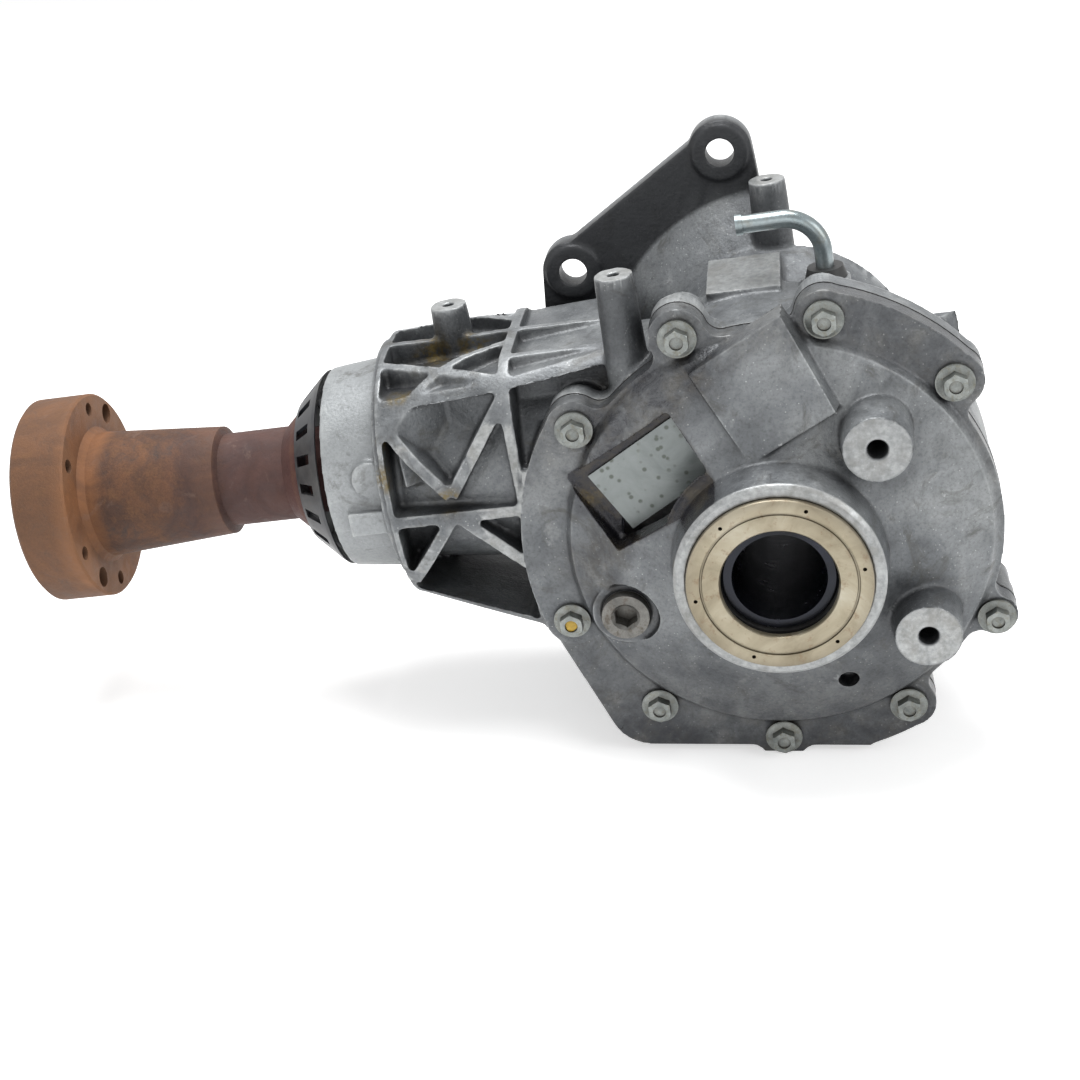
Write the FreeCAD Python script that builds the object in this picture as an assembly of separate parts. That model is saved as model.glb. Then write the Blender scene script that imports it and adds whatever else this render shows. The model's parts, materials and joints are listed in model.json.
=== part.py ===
import FreeCAD, Part
import math
import os

# Right-angle transfer case (power transfer unit) of a transverse four-wheel-drive car.
#
# Part frame, millimetres: the origin lies on the bore axis, where the plane through the pinion
# axis crosses it.  Y runs along the bore axis and the side cover faces -Y.  Z points up, and the
# output flange points towards -X.
# Everything is modelled square to the pinion axis and then leaned by case_lean about the bore
# axis, so that the flat foot of the casting lies level and the pinion dips towards its flange.

# ---------------------------------------------------------------- driving dimensions
case_lean = 6.2
pinion_offset = 29.0          # height of the pinion axis above the bore axis (hypoid offset)
fit_gap = 0.05                # radial clearance of running and slip fits
seat_gap = 0.02               # radial clearance of pieces pressed or seated in the castings

# joint face, bolts and scalloped flange
joint_y = -57.0
gasket_t = 0.6
cover_flange_t = 10.0
case_flange_t = 11.0
bolt_offset = 7.0             # bolt circle outside the drum
foot_below_bolts = 5.5        # level foot below the bolt circle
foot_lobe = 3.5               # how far the lowest lobe may reach below the foot
foot_corner_x = -73.0
foot_corner_r = 20.0
foot_right_x = 41.0
foot_slope_top = 54.0         # depth at which the sloping left edge of the foot starts
upper_bolt_first = 38.2       # angles from +X towards +Z
upper_bolt_step = 34.9
upper_bolt_count = 4
lower_bolt_first = -28.9
lower_bolt_step = -33.4
lower_bolt_count = 5
bolt_lobe_r = 12.8
slim_lobe_r = 9.6             # lobe of the first lower bolt
rim_inset = 0.4               # wide rim inside the outermost line of the lobes
flange_waist = 1.0            # waist of the scallops outside the drum
scallop_r = 7.0
bolt_size = 8.0
bolt_hole_r = 4.5
bolt_core_r = 3.35
bolt_washer_r = 8.5
bolt_washer_t = 1.8
spot_face_gap = 1.2
bolt_head_chamfer = 0.5
bolt_dimple_depth = 0.9
bolt_across_flats = 10.0
bolt_head_h = 7.2
bolt_thread_depth = 18.0
bolt_boss_r = 10.5

# side cover
wall_t = 7.0
plateau_rise = 5.0            # cast plateau above the bolt seats
plateau_margin = 9.0          # foot of the plateau outside the gear chamber
dome_foot_r = 54.0
dome_rise = 19.0              # foot of the collar above the bolt seats
collar_r = 45.5
collar_h = 44.5               # front of the collar above the bolt seats
collar_chamfer = 2.0
boss_r = 14.7
boss_h = 32.0
boss_draft = 1.6
boss_places = ((46.7, 50.8), (60.0, -39.9))
boss_core_r = 4.25            # M10 tapping hole
boss_hole_depth = 24.0
boss_chamfer = 1.0
plug_x = -72.5
plug_z = -25.5
plug_boss_r = 15.5
plug_boss_h = 9.5
plug_r = 10.8
plug_core_r = 8.2
plug_socket_flats = 10.0
plug_head_t = 5.0
sight_hole_x = 23.0
sight_hole_z = -69.5
sight_hole_r = 4.5
sight_hole_depth = 14.0
block_x = 2.5
block_z = 75.0
block_side = 43.0
block_turn = 27.0
block_low = 10.0              # height of the raised block at its outer edge
block_high = 23.0             # and at its inner edge, next to the collar
block_draft = 3.5
label_x = -55.5
label_z = 38.5
label_turn = 30.0
recess_l = 57.0
recess_w = 38.0
recess_depth = 1.0            # floor of the label recess below the bolt seats
plate_l = 48.0
plate_w = 32.0
plate_t = 0.8

# shaft seal and the bearings of the hollow shaft
shaft_r = 25.0
shaft_bore_r = 20.5
bearing_r = 40.0
bearing_w = 20.0
bearing_tilt = 14.0
shaft_rollers = 18
seal_w = 12.0
seal_proud = 2.5
seal_lip_r = 30.0
lip_inset = 8.0               # rubber lip behind the front of the seal
seal_hole_count = 6
seal_hole_circle_r = 36.5
seal_hole_r = 0.9
seal_hole_first = 50.6
shoulder_w = 3.0
shoulder_r = 35.0
shim_t = 1.0

# hollow shaft and ring gear
ring_outer_r = 79.5
ring_inner_r = 55.5
ring_back_y = -47.0
ring_teeth = 31
pinion_teeth = 12
mesh_x = 62.0                 # distance of the mesh point from the bore axis, along the pinion
tooth_face = 17.0
tooth_play = 1.0
pressure_angle = 22.0
ring_clearance = 4.5          # gear chamber outside the ring gear
rack_margin = 12.5            # tooth spaces run past the ring on both sides
spline_count = 26
spline_h = 1.3
shaft_inset = 7.5             # front end of the hollow shaft inside its seal
shaft_tail = 30.0             # splined end beyond the rear face
carrier_t = 6.0
carrier_spigot = 8.0
ring_rim_back = 8.0

# main case
drum_wall = 13.0
drum_back_y = -4.0
neck_r = 55.0
bell_x = 6.4                  # axis of the flared bell behind the drum
bell_z = 39.4
bell_start_r = 52.0
bell_knee_r = 63.0
bell_end_r = 85.0
bell_start_y = -6.0
bell_knee_y = 32.0
bell_cut_x = 15.5             # upright end of the bell beside the last post
bell_cut_z = 52.0
rear_face_y = 62.5
rear_flange_t = 12.0
rear_flange_r = 82.0
pilot_r = 52.5
pilot_h = 9.0
oring_r = 1.6
ear_hole_r = 6.5
ear_r = 15.2
ear_web_inset = 3.0           # web between the upper ears inside their outline
ear_skirt = 42.0              # straight edge below the first ear
ears = ((133.0, 131.1), (94.6, 144.7), (-47.0, 112.0), (-124.0, 105.0))
inner_ear = (18.0, 74.0)
spot_face_r = 13.0             # room for the bolt head in front of the inner hole
spot_face_depth = 24.0

# pinion extension
nose_x = -207.0
nose_r = 48.5
rim_back = 31.0               # middle of the rim behind the nose
nose_root_r = 51.5
nose_boss_r = 8.7             # round pad on the side of the nose
nose_boss_back = 23.0
nose_boss_rise = 13.0
rim_r = 60.5
rim_w = 6.0
waist_x = -114.0
skin_r = 47.0
skin_root_r = 53.0
rib_t = 4.6
hull_front_y = -56.5
hull_back_y = 50.0
hull_top_z = 88.5
hull_bottom_z = -52.0
hull_corner_r = 26.0
rim_corner_r = 50.0

# threaded posts on the top: x, y, height of the head
posts = ((-143.5, 5.3, 102.8), (-57.6, -46.4, 124.0), (9.0, 36.5, 132.7))
post_r = 8.6
post_foot_r = 10.2
post_root_z = 60.0
post_core_r = 2.5             # M6 tapping hole
post_hole_depth = 16.0
post_chamfer = 0.8
post_seam = 20.0                # seam lines of the posts, turned off the square planes, degrees

# pinion line
pinion_r = 17.5
pinion_tail_r = 15.0
head_bearing_r = 40.0
head_bearing_w = 24.0
head_bearing_x = -91.0
head_rollers = 16
tail_bearing_r = 36.0
tail_bearing_w = 20.0
tail_shoulder = 3.0           # wall between the pinion seal and its bearing
tail_rollers = 15
pinion_seal_w = 10.0
pinion_end_out = 0.7          # end of the thread outside the nut
spacer_wall = 2.5
nut_flats = 32.0
nut_w = 14.0

# output flange with its long neck
flange_face_x = -361.3
flange_t = 27.4
flange_r = 50.5
flange_hole_circle_r = 43.0
flange_tap_r = 3.4
flange_tap_first = 43.5
flange_tap_count = 6
flange_dowel_r = 5.0
flange_dowel_first = -47.0
flange_bore_r = 20.0
flange_bore_depth = 74.0
flange_recess_r = 32.0
flange_recess_depth = 4.0
neck_outer_r = 31.0
neck_step_r = 26.5
neck_thin_l = 34.0            # thin part of the neck
neck_thin_r = 22.8
flare_l = 10.0
flare_gap = 17.0              # wide end of the flare in front of the nose
flare_r = 32.0
sleeve_r = 21.0
shield_back = 1.5             # knee of the shield behind the end of the flare
shield_r = 47.5
shield_root_r = 35.0
shield_gap = 2.6              # rim of the shield in front of the nose
shield_wall = 1.6
shield_slots = 18
shield_slot_w = 5.0

# breather
breather_x = 32.0
breather_y = -7.0
breather_pipe_r = 4.1
breather_bore_r = 2.4
breather_boss_h = 5.4         # boss above the drum
breather_rise = 29.0
breather_bend_r = 17.0
breather_run = 20.0
breather_bead_w = 3.0
breather_bead_h = 0.7
grommet_r = 9.5
grommet_h = 5.0

# cast pad for markings, left blank
pad_x = -5.0
pad_y = 2.0
pad_l = 34.0
pad_w = 38.0
pad_rise = 4.0                # pad above the drum
pad_tilt = 5.0

# ---------------------------------------------------------------- worked-out sizes
chamber_r = ring_outer_r + ring_clearance
drum_r = chamber_r + drum_wall
plateau_r = chamber_r + plateau_margin
flange_waist_r = drum_r + flange_waist
bolt_circle_r = drum_r + bolt_offset
foot_drop = bolt_circle_r + foot_below_bolts
cover_back_y = joint_y - gasket_t
seat_y = cover_back_y - cover_flange_t
collar_y = seat_y - collar_h
seal_front_y = collar_y - seal_proud
seal_back_y = seal_front_y + seal_w
front_shoulder_y = seal_back_y + shoulder_w
front_cup_y = front_shoulder_y + shim_t
front_bearing_end_y = front_cup_y + bearing_w
rear_seal_y = rear_face_y - seal_w
rear_shoulder_y = rear_seal_y - shoulder_w
rear_bearing_y = rear_shoulder_y - bearing_w
pitch_slope = pinion_teeth / ring_teeth
label_floor_y = seat_y - recess_depth
collar_rim_x = nose_x + rim_back
tail_back_x = nose_x + pinion_seal_w + tail_shoulder
tail_bearing_x = tail_back_x + tail_bearing_w
head_cup_x = head_bearing_x - head_bearing_w
flare_end_x = nose_x - flare_gap
flare_x = flare_end_x - flare_l
neck_step_x = flare_x - neck_thin_l
shield_x = flare_end_x + shield_back
shield_rim_x = nose_x - shield_gap
flange_near_x = flange_face_x + flange_t
nut_seat_x = flange_face_x + flange_bore_depth
pinion_end_x = nut_seat_x - nut_w - pinion_end_out
carrier_r = shaft_r + carrier_t
seal_on_shaft_r = shaft_r + fit_gap
breather_base_z = math.sqrt(drum_r ** 2 - breather_x ** 2) + breather_boss_h
pad_top_z = drum_r + pad_rise
bolt_angles = [upper_bolt_first + upper_bolt_step * k for k in range(upper_bolt_count)]
bolt_angles += [lower_bolt_first + lower_bolt_step * k for k in range(lower_bolt_count)]

X = FreeCAD.Vector(1, 0, 0)
Y = FreeCAD.Vector(0, 1, 0)
Z = FreeCAD.Vector(0, 0, 1)
ORIGIN = FreeCAD.Vector(0, 0, 0)
BACK = FreeCAD.Vector(-1, 0, 0)
FRONT = FreeCAD.Vector(0, -1, 0)


# ---------------------------------------------------------------- small helpers
def vec(x, y, z):
    return FreeCAD.Vector(x, y, z)


def polar(angle, radius, y):
    """Point at an angle and radius about the bore axis."""
    a = math.radians(angle)
    return vec(radius * math.cos(a), y, radius * math.sin(a))


def rod(radius, start, end):
    """Cylinder between two points."""
    along = end - start
    return Part.makeCylinder(radius, along.Length, start, along)


def taper(radius_1, radius_2, start, end):
    """Cone frustum between two points."""
    along = end - start
    return Part.makeCone(radius_1, radius_2, along.Length, start, along)


def prism(points, along):
    """Extruded closed polygon."""
    wire = Part.makePolygon(points + [points[0]])
    return Part.Face(wire).extrude(along)


def bore_turned(profile):
    """Solid turned about the bore axis from (radius, y) points."""
    points = [vec(r, y, 0) for r, y in profile]
    face = Part.Face(Part.makePolygon(points + [points[0]]))
    return face.revolve(ORIGIN, Y, 360)


def pinion_turned(profile):
    """Solid turned about the pinion axis from (radius, x) points."""
    points = [vec(x, 0, pinion_offset + r) for r, x in profile]
    face = Part.Face(Part.makePolygon(points + [points[0]]))
    return face.revolve(vec(0, 0, pinion_offset), X, 360)


def hexagon(flats, center, along, height):
    """Hexagonal prism with one flat pair square to Z or Y."""
    corner = flats / math.sqrt(3)
    side = Z if abs(along.z) < 0.5 else X
    across = along.cross(side)
    points = []
    for k in range(6):
        a = math.radians(60 * k)
        points.append(center + side * (corner * math.cos(a)) + across * (corner * math.sin(a)))
    return prism(points, along * height)


def join(shapes):
    """One solid from overlapping ones."""
    first = shapes[0]
    return first.fuse(shapes[1:]).removeSplitter()


def level(shape):
    """Turns a shape drawn level into the leaned frame the case is modelled in."""
    turned = shape.copy()
    turned.rotate(ORIGIN, Y, case_lean)
    return turned


def save(name, shape):
    """Leans the shape onto the level foot and writes it as one part."""
    placed = shape.copy()
    placed.rotate(ORIGIN, Y, -case_lean)
    if placed.ShapeType == "Compound" and len(placed.Solids) == 1:
        placed = placed.Solids[0]
    placed.exportStep("parts/" + name + ".step")


# ---------------------------------------------------------------- scalloped flange
def foot_prism(y, depth):
    """Lower corner and level foot of the flange."""
    run = bolt_lobe_r
    slope_top = vec(-flange_waist_r - bolt_offset / 2, y, -foot_slope_top)
    corner = vec(foot_corner_x, y, -foot_drop)
    right = vec(foot_right_x, y, -foot_drop)
    up = (slope_top - corner).normalize()
    half = math.radians(90 - up.getAngle(X) * 90 / math.pi)
    reach = foot_corner_r * math.tan(half)
    start = corner + up * reach
    end = corner + X * reach
    bisector = (up + X).normalize()
    middle = corner + bisector * (foot_corner_r / math.cos(half) - foot_corner_r)
    edges = [
        Part.makeLine(slope_top, start),
        Part.Arc(start, middle, end).toShape(),
        Part.makeLine(end, right),
        Part.makeLine(right, vec(run, y, 0)),
        Part.makeLine(vec(run, y, 0), vec(-run, y, 0)),
        Part.makeLine(vec(-run, y, 0), slope_top),
    ]
    return level(Part.Face(Part.Wire(edges)).extrude(Y * depth))


def flange_slab(y, depth):
    """Scalloped plate: lobes round the bolts, full rim where it is wide, hollows rounded."""
    edge_r = bolt_circle_r + bolt_lobe_r - rim_inset
    pieces = [Part.makeCylinder(flange_waist_r, depth, vec(0, y, 0), Y)]
    for k, angle in enumerate(bolt_angles):
        start = polar(angle, bolt_circle_r, y)
        lobe_r = slim_lobe_r if k == upper_bolt_count else bolt_lobe_r
        pieces.append(Part.makeCylinder(lobe_r, depth, start, Y))
    wide = (
        (bolt_angles[0], bolt_angles[1]),
        (bolt_angles[3], 360 + bolt_angles[8]),
        (bolt_angles[5] - 14, bolt_angles[5]),
    )
    for low, high in wide:
        sector = Part.makeCylinder(edge_r, depth, ORIGIN, Z, high - low)
        sector.rotate(ORIGIN, X, 90)
        sector.rotate(ORIGIN, Y, -low)
        sector.translate(vec(0, y + depth, 0))
        pieces.append(sector)
    pieces.append(foot_prism(y, depth))
    slab = join(pieces)
    rim = max(slab.Faces, key=lambda f: f.Area if abs(f.CenterOfMass.y - y) < 1e-6 else 0)
    outline = Part.Face(rim.OuterWire)
    rounded = outline.makeOffset2D(scallop_r).makeOffset2D(-scallop_r)
    floor_z = foot_drop + foot_lobe
    below = Part.makeBox(4 * edge_r, depth + 2.0, edge_r, vec(-2 * edge_r, y - 1.0, -floor_z - edge_r))
    return rounded.extrude(Y * depth).cut(level(below))


def drill_bolts(shape, radius, start_y, end_y):
    """Cuts one hole per joint bolt."""
    holes = []
    for angle in bolt_angles:
        start = polar(angle, bolt_circle_r, start_y)
        end = polar(angle, bolt_circle_r, end_y)
        holes.append(rod(radius, start, end))
    return shape.cut(holes)


# ---------------------------------------------------------------- side cover
def turned_box(length, width, x, z, turn, y, depth, spread=0.0):
    """Rectangular block along the bore axis, turned about it, wider by spread at its base."""
    corners = []
    far = []
    a = math.radians(turn)
    for sx, sz in ((-1, -1), (1, -1), (1, 1), (-1, 1)):
        for grow, at, out in ((spread, y, corners), (0.0, y + depth, far)):
            u = sx * (length / 2 + grow)
            w = sz * (width / 2 + grow)
            px = x + u * math.cos(a) - w * math.sin(a)
            pz = z + u * math.sin(a) + w * math.cos(a)
            out.append(vec(px, at, pz))
    low = Part.makePolygon(corners + [corners[0]])
    high = Part.makePolygon(far + [far[0]])
    return Part.makeLoft([low, high], True, True)


def raised_block():
    """Square block beside the collar whose face rises towards the collar."""
    base = seat_y + 1.0
    block = turned_box(block_side, block_side, block_x, block_z, block_turn, base,
                       -block_high - 1.0, block_draft)
    a = math.radians(block_turn)
    out = vec(-math.sin(a), 0, math.cos(a))
    side = vec(math.cos(a), 0, math.sin(a))
    center = vec(block_x, seat_y, block_z)
    half = block_side / 2
    low = center + out * half + FRONT * block_low
    high = center - out * half + FRONT * block_high
    past = (low - high).normalize() * block_side
    wedge = prism(
        [high - past - side * block_side, low + past - side * block_side,
         low + past - side * block_side + FRONT * 60, high - past - side * block_side + FRONT * 60],
        side * 2 * block_side)
    return block.cut(wedge)


def make_side_cover():
    top = -plateau_rise
    outer = bore_turned([
        (0, cover_back_y - 1.0), (plateau_r + 3.0, cover_back_y - 1.0), (plateau_r + 3.0, seat_y),
        (plateau_r, seat_y + top), (dome_foot_r, seat_y - dome_rise),
        (collar_r + 1.5, seat_y - dome_rise - 4.0), (collar_r, collar_y + collar_chamfer),
        (collar_r - collar_chamfer, collar_y), (0, collar_y)])
    pieces = [flange_slab(seat_y, cover_flange_t), outer, raised_block()]
    face_y = seat_y - boss_h
    for x, z in boss_places:
        foot = vec(x, seat_y + 1.0, z)
        pieces.append(taper(boss_r + boss_draft, boss_r, foot, vec(x, face_y, z)))
    plug_face_y = seat_y - plug_boss_h
    plug_foot = vec(plug_x, cover_back_y - 2.0, plug_z)
    pieces.append(taper(plug_boss_r + 1.0, plug_boss_r, plug_foot, vec(plug_x, plug_face_y, plug_z)))
    body = join(pieces)

    inside = bore_turned([
        (0, cover_back_y + 1.0), (chamber_r, cover_back_y + 1.0), (chamber_r, cover_back_y - 3.0),
        (dome_foot_r, seat_y - dome_rise + wall_t + 3.0), (dome_foot_r - 4.0, front_bearing_end_y + 1.0),
        (bearing_r, front_bearing_end_y + 1.0), (bearing_r, front_shoulder_y),
        (shoulder_r, front_shoulder_y), (shoulder_r, seal_back_y),
        (bearing_r, seal_back_y), (bearing_r, collar_y - 1.0), (0, collar_y - 1.0)])
    body = body.cut(inside)
    tools = []
    for x, z in boss_places:
        face = vec(x, face_y, z)
        tools.append(rod(boss_core_r, face, face + Y * boss_hole_depth))
        rim = boss_core_r + boss_chamfer
        tools.append(taper(rim, boss_core_r, face, face + Y * boss_chamfer))
    plug_face = vec(plug_x, plug_face_y, plug_z)
    tools.append(rod(plug_core_r + fit_gap, plug_face, plug_face + Y * 40))
    tools.append(rod(plug_r + 0.8, plug_face, plug_face + Y * 1.2))
    sight = vec(sight_hole_x, seat_y - dome_rise, sight_hole_z)
    tools.append(rod(sight_hole_r, sight, sight + Y * (dome_rise - plateau_rise + 4.0)))
    tools.append(turned_box(recess_l, recess_w, label_x, label_z, label_turn, label_floor_y,
                            -dome_rise, 0.0))
    for angle in bolt_angles:
        seat = polar(angle, bolt_circle_r, seat_y)
        tools.append(rod(bolt_washer_r + spot_face_gap, seat, seat + FRONT * dome_rise))
    tools.append(rod(plug_boss_r, plug_face, plug_face + FRONT * dome_rise))
    body = body.cut(tools)
    return drill_bolts(body, bolt_hole_r, seat_y - 1.0, cover_back_y + 1.0)


def make_gasket():
    slab = flange_slab(cover_back_y, gasket_t)
    inner = Part.makeCylinder(chamber_r + 3.0, gasket_t, vec(0, cover_back_y, 0), Y)
    return drill_bolts(slab.cut(inner), bolt_hole_r, cover_back_y - 1.0, joint_y + 1.0)


def make_cover_bolt(angle):
    seat = polar(angle, bolt_circle_r, seat_y)
    washer = rod(bolt_washer_r, seat, seat + FRONT * bolt_washer_t)
    washer_top = seat + FRONT * bolt_washer_t
    cone = taper(bolt_washer_r - 0.6, bolt_across_flats / 2, washer_top, washer_top + FRONT * 0.8)
    head = hexagon(bolt_across_flats, seat, FRONT, bolt_head_h)
    corner = bolt_across_flats / math.sqrt(3)
    top = seat + FRONT * bolt_head_h
    crown = taper(corner + bolt_head_h, corner - bolt_head_chamfer, seat, top)
    head = head.common(crown)
    dimple = rod(bolt_across_flats / 2 - 2.0, top, top + Y * bolt_dimple_depth)
    shank_end = seat + Y * (cover_flange_t + gasket_t - 0.5)
    shank = rod(bolt_size / 2, seat, shank_end)
    thread = rod(bolt_core_r, shank_end, shank_end + Y * (bolt_thread_depth - 2.0))
    return join([washer, cone, head, shank, thread]).cut(dimple)


def make_seal_case():
    ring = bore_turned([
        (bearing_r - seat_gap, collar_y), (bearing_r - 0.3, seal_front_y + 0.4),
        (bearing_r - 0.8, seal_front_y), (seal_lip_r + 3.0, seal_front_y),
        (seal_lip_r + 2.2, seal_front_y + 1.6), (seal_lip_r, seal_front_y + 1.6),
        (seal_lip_r, seal_back_y), (bearing_r - seat_gap, seal_back_y)])
    holes = []
    for k in range(seal_hole_count):
        start = polar(seal_hole_first + 60 * k, seal_hole_circle_r, seal_front_y - 1.0)
        holes.append(rod(seal_hole_r, start, start + Y * 3.0))
    return ring.cut(holes)


def seal_lip(outer_r, inner_r, front_y, back_y):
    """Rubber lip ring that runs on a shaft turning about the bore axis."""
    middle = (front_y + back_y) / 2
    return bore_turned([
        (outer_r, front_y), (outer_r, back_y), (outer_r - 2.0, back_y), (inner_r + 0.6, middle + 2.0),
        (inner_r, middle), (inner_r + 1.2, front_y)])


def make_shim():
    outer = bearing_r - seat_gap
    return bore_turned([
        (shoulder_r, front_shoulder_y), (outer, front_shoulder_y),
        (outer, front_cup_y), (shoulder_r, front_cup_y)])


def make_filler_plug():
    face = vec(plug_x, seat_y - plug_boss_h, plug_z)
    seat = face + Y * 1.2
    head = rod(plug_r, seat - Y * 0.8, seat - Y * (0.8 + plug_head_t))
    stem = rod(plug_core_r, seat - Y * 1.0, seat + Y * 11.0)
    socket = hexagon(plug_socket_flats, seat - Y * (0.8 + plug_head_t), Y, plug_head_t + 3.0)
    rim = seat - Y * (0.8 + plug_head_t)
    mouth = taper(plug_socket_flats / 2 + 1.6, plug_socket_flats / 2, rim, rim + Y * 1.6)
    return join([head, stem]).cut([socket, mouth])


def make_plug_washer():
    seat = vec(plug_x, seat_y - plug_boss_h + 1.2, plug_z)
    return rod(plug_r, seat, seat - Y * 0.8).cut(rod(plug_core_r + fit_gap, seat, seat - Y * 0.8))


def make_label_plate():
    """Blank plate lying in the recess of the cover."""
    shift_along = (recess_l - plate_l) / 2 - 1.0
    shift_down = (recess_w - plate_w) / 2 - 0.8
    a = math.radians(label_turn)
    x = label_x + shift_along * math.cos(a) + shift_down * math.sin(a)
    z = label_z + shift_along * math.sin(a) - shift_down * math.cos(a)
    return turned_box(plate_l, plate_w, x, z, label_turn, label_floor_y, -plate_t)


# ---------------------------------------------------------------- tapered roller bearings
def bearing_profiles(inner_r, outer_r, width, tilt):
    """Cone, cup, roller size and place of a bearing whose rollers lean by tilt.

    Radii against distance from the wide end of the cone."""
    lean = math.tan(math.radians(tilt))
    middle_r = (inner_r + outer_r) / 2
    roller_r = (outer_r - inner_r) * 0.21
    race_in = middle_r - roller_r / math.cos(math.radians(tilt)) - fit_gap
    race_out = middle_r + roller_r / math.cos(math.radians(tilt)) + fit_gap
    half = width / 2
    rib = 2.5
    drop = lean * (half - rib)
    inset = width * 0.08
    cone = [
        (inner_r, 0.0), (race_in + drop + 1.6, 0.0), (race_in + drop + 1.6, rib),
        (race_in + drop, rib), (race_in - drop, width - rib), (race_in - drop + 0.8, width - rib),
        (race_in - drop + 0.8, width - inset), (inner_r, width - inset)]
    cup = [
        (race_out + lean * (half - inset), inset), (outer_r, inset), (outer_r, width),
        (race_out - lean * half, width)]
    return cone, cup, roller_r, middle_r, half, rib, lean


def roller_set(profile, count, width, tilt, point, turned):
    """Rollers joined by the two rims of their cage.

    point(angle, radius, distance) and turned(profile) place them on their axis."""
    cone, cup, roller_r, middle_r, half, rib, lean = profile
    a = math.radians(tilt)
    reach = (half - rib - roller_r * math.sin(a) - 0.4) / math.cos(a)
    wide_r = middle_r + reach * math.sin(a)
    thin_r = middle_r - reach * math.sin(a)
    near = half - reach * math.cos(a)
    far = half + reach * math.cos(a)
    pieces = []
    for k in range(count):
        angle = 360.0 * k / count
        pieces.append(rod(roller_r, point(angle, wide_r, near), point(angle, thin_r, far)))
    for at, r in ((near + 1.2, wide_r), (far - 1.2, thin_r)):
        pieces.append(turned([(r - 0.8, at - 0.9), (r + 0.8, at - 0.9),
                              (r + 0.8, at + 0.9), (r - 0.8, at + 0.9)]))
    return join(pieces)


def save_bearing(name, inner_r, outer_r, width, count, axis, back, sign):
    """Writes cup, cone and caged rollers; back is where the cone's wide face lies."""
    profile = bearing_profiles(inner_r, outer_r, width, bearing_tilt)

    def place(points):
        return axis([(r, back + sign * d) for r, d in points])

    def point(angle, radius, distance):
        at = back + sign * distance
        if axis is bore_turned:
            return polar(angle, radius, at)
        a = math.radians(angle)
        return vec(at, radius * math.cos(a), pinion_offset + radius * math.sin(a))

    save(name + "_cone", place(profile[0]))
    save(name + "_cup", place(profile[1]))
    save(name + "_rollers", roller_set(profile, count, width, bearing_tilt, point, place))


# ---------------------------------------------------------------- hollow shaft and ring gear
def make_hollow_shaft():
    front_y = seal_front_y + shaft_inset
    end_y = rear_face_y + shaft_tail
    spline_r = shaft_r - spline_h
    body = bore_turned([
        (shaft_bore_r, front_y), (shaft_r - 1.0, front_y), (shaft_r, front_y + 1.0),
        (shaft_r, front_bearing_end_y), (carrier_r, front_bearing_end_y),
        (carrier_r, rear_bearing_y), (shaft_r, rear_bearing_y),
        (shaft_r, rear_face_y + 2.0), (spline_r - 0.5, rear_face_y + 3.0),
        (spline_r - 0.5, end_y - 1.0), (spline_r - 1.5, end_y), (shaft_bore_r, end_y)])
    teeth = []
    root = spline_r - 1.0
    width = math.pi * shaft_r / spline_count
    length = shaft_tail - 6.0
    for k in range(spline_count):
        corner = vec(root, rear_face_y + 4.0, -width / 2)
        tooth = Part.makeBox(shaft_r - root, length, width, corner)
        tooth.rotate(ORIGIN, Y, 360.0 * k / spline_count)
        teeth.append(tooth)
    return join([body] + teeth)


def make_gear_carrier():
    """Flange shrunk on the hollow shaft, which locates the ring gear from inside and behind."""
    bore = carrier_r + seat_gap
    seat_r = ring_inner_r - seat_gap
    back_y = ring_back_y - carrier_t
    rim = ring_outer_r - ring_rim_back
    return bore_turned([
        (bore, back_y - carrier_t), (bore + carrier_t, back_y - carrier_t),
        (ring_inner_r - ring_rim_back, back_y), (rim, back_y), (rim, ring_back_y),
        (seat_r, ring_back_y), (seat_r, ring_back_y + carrier_spigot),
        (bore, ring_back_y + carrier_spigot)])


def rack_space(near_x, far_x):
    """Tapered tooth space pointing at the foot of the offset, at the mesh line."""
    outlines = []
    pitch = math.pi * 2 * mesh_x * pitch_slope / pinion_teeth
    for x in (near_x, far_x):
        k = x / mesh_x
        level_y = -pitch_slope * x
        top = 6.0 * k
        deep = 5.2 * k
        half = (pitch / 4) * k + tooth_play / 2
        slope = math.tan(math.radians(pressure_angle))
        wide = half + top * slope
        thin = half - deep * slope
        points = [
            vec(-x, level_y + top, pinion_offset - wide), vec(-x, level_y + top, pinion_offset + wide),
            vec(-x, level_y - deep, pinion_offset + thin), vec(-x, level_y - deep, pinion_offset - thin)]
        outlines.append(Part.makePolygon(points + [points[0]]))
    return Part.makeLoft(outlines, True, True)


def ring_face_y(radius):
    """Height of the pitch surface at a radius: the pinion's pitch line swept about the bore."""
    return -pitch_slope * math.sqrt(radius ** 2 - pinion_offset ** 2)


def make_ring_gear():
    addendum = 2.6
    inner_face = ring_face_y(ring_inner_r + 3.0) + addendum * 0.8
    outer_face = ring_face_y(ring_outer_r) + addendum
    blank = bore_turned([
        (ring_inner_r, ring_back_y), (ring_outer_r - 2.0, ring_back_y), (ring_outer_r, ring_back_y + 2.0),
        (ring_outer_r, outer_face), (ring_inner_r + 3.0, inner_face), (ring_inner_r, inner_face - 2.0)])
    spaces = []
    for k in range(ring_teeth):
        space = rack_space(mesh_x - 2 * rack_margin, ring_outer_r + rack_margin)
        space.rotate(ORIGIN, Y, 360.0 * k / ring_teeth)
        spaces.append(space)
    return blank.cut(spaces)


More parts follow.
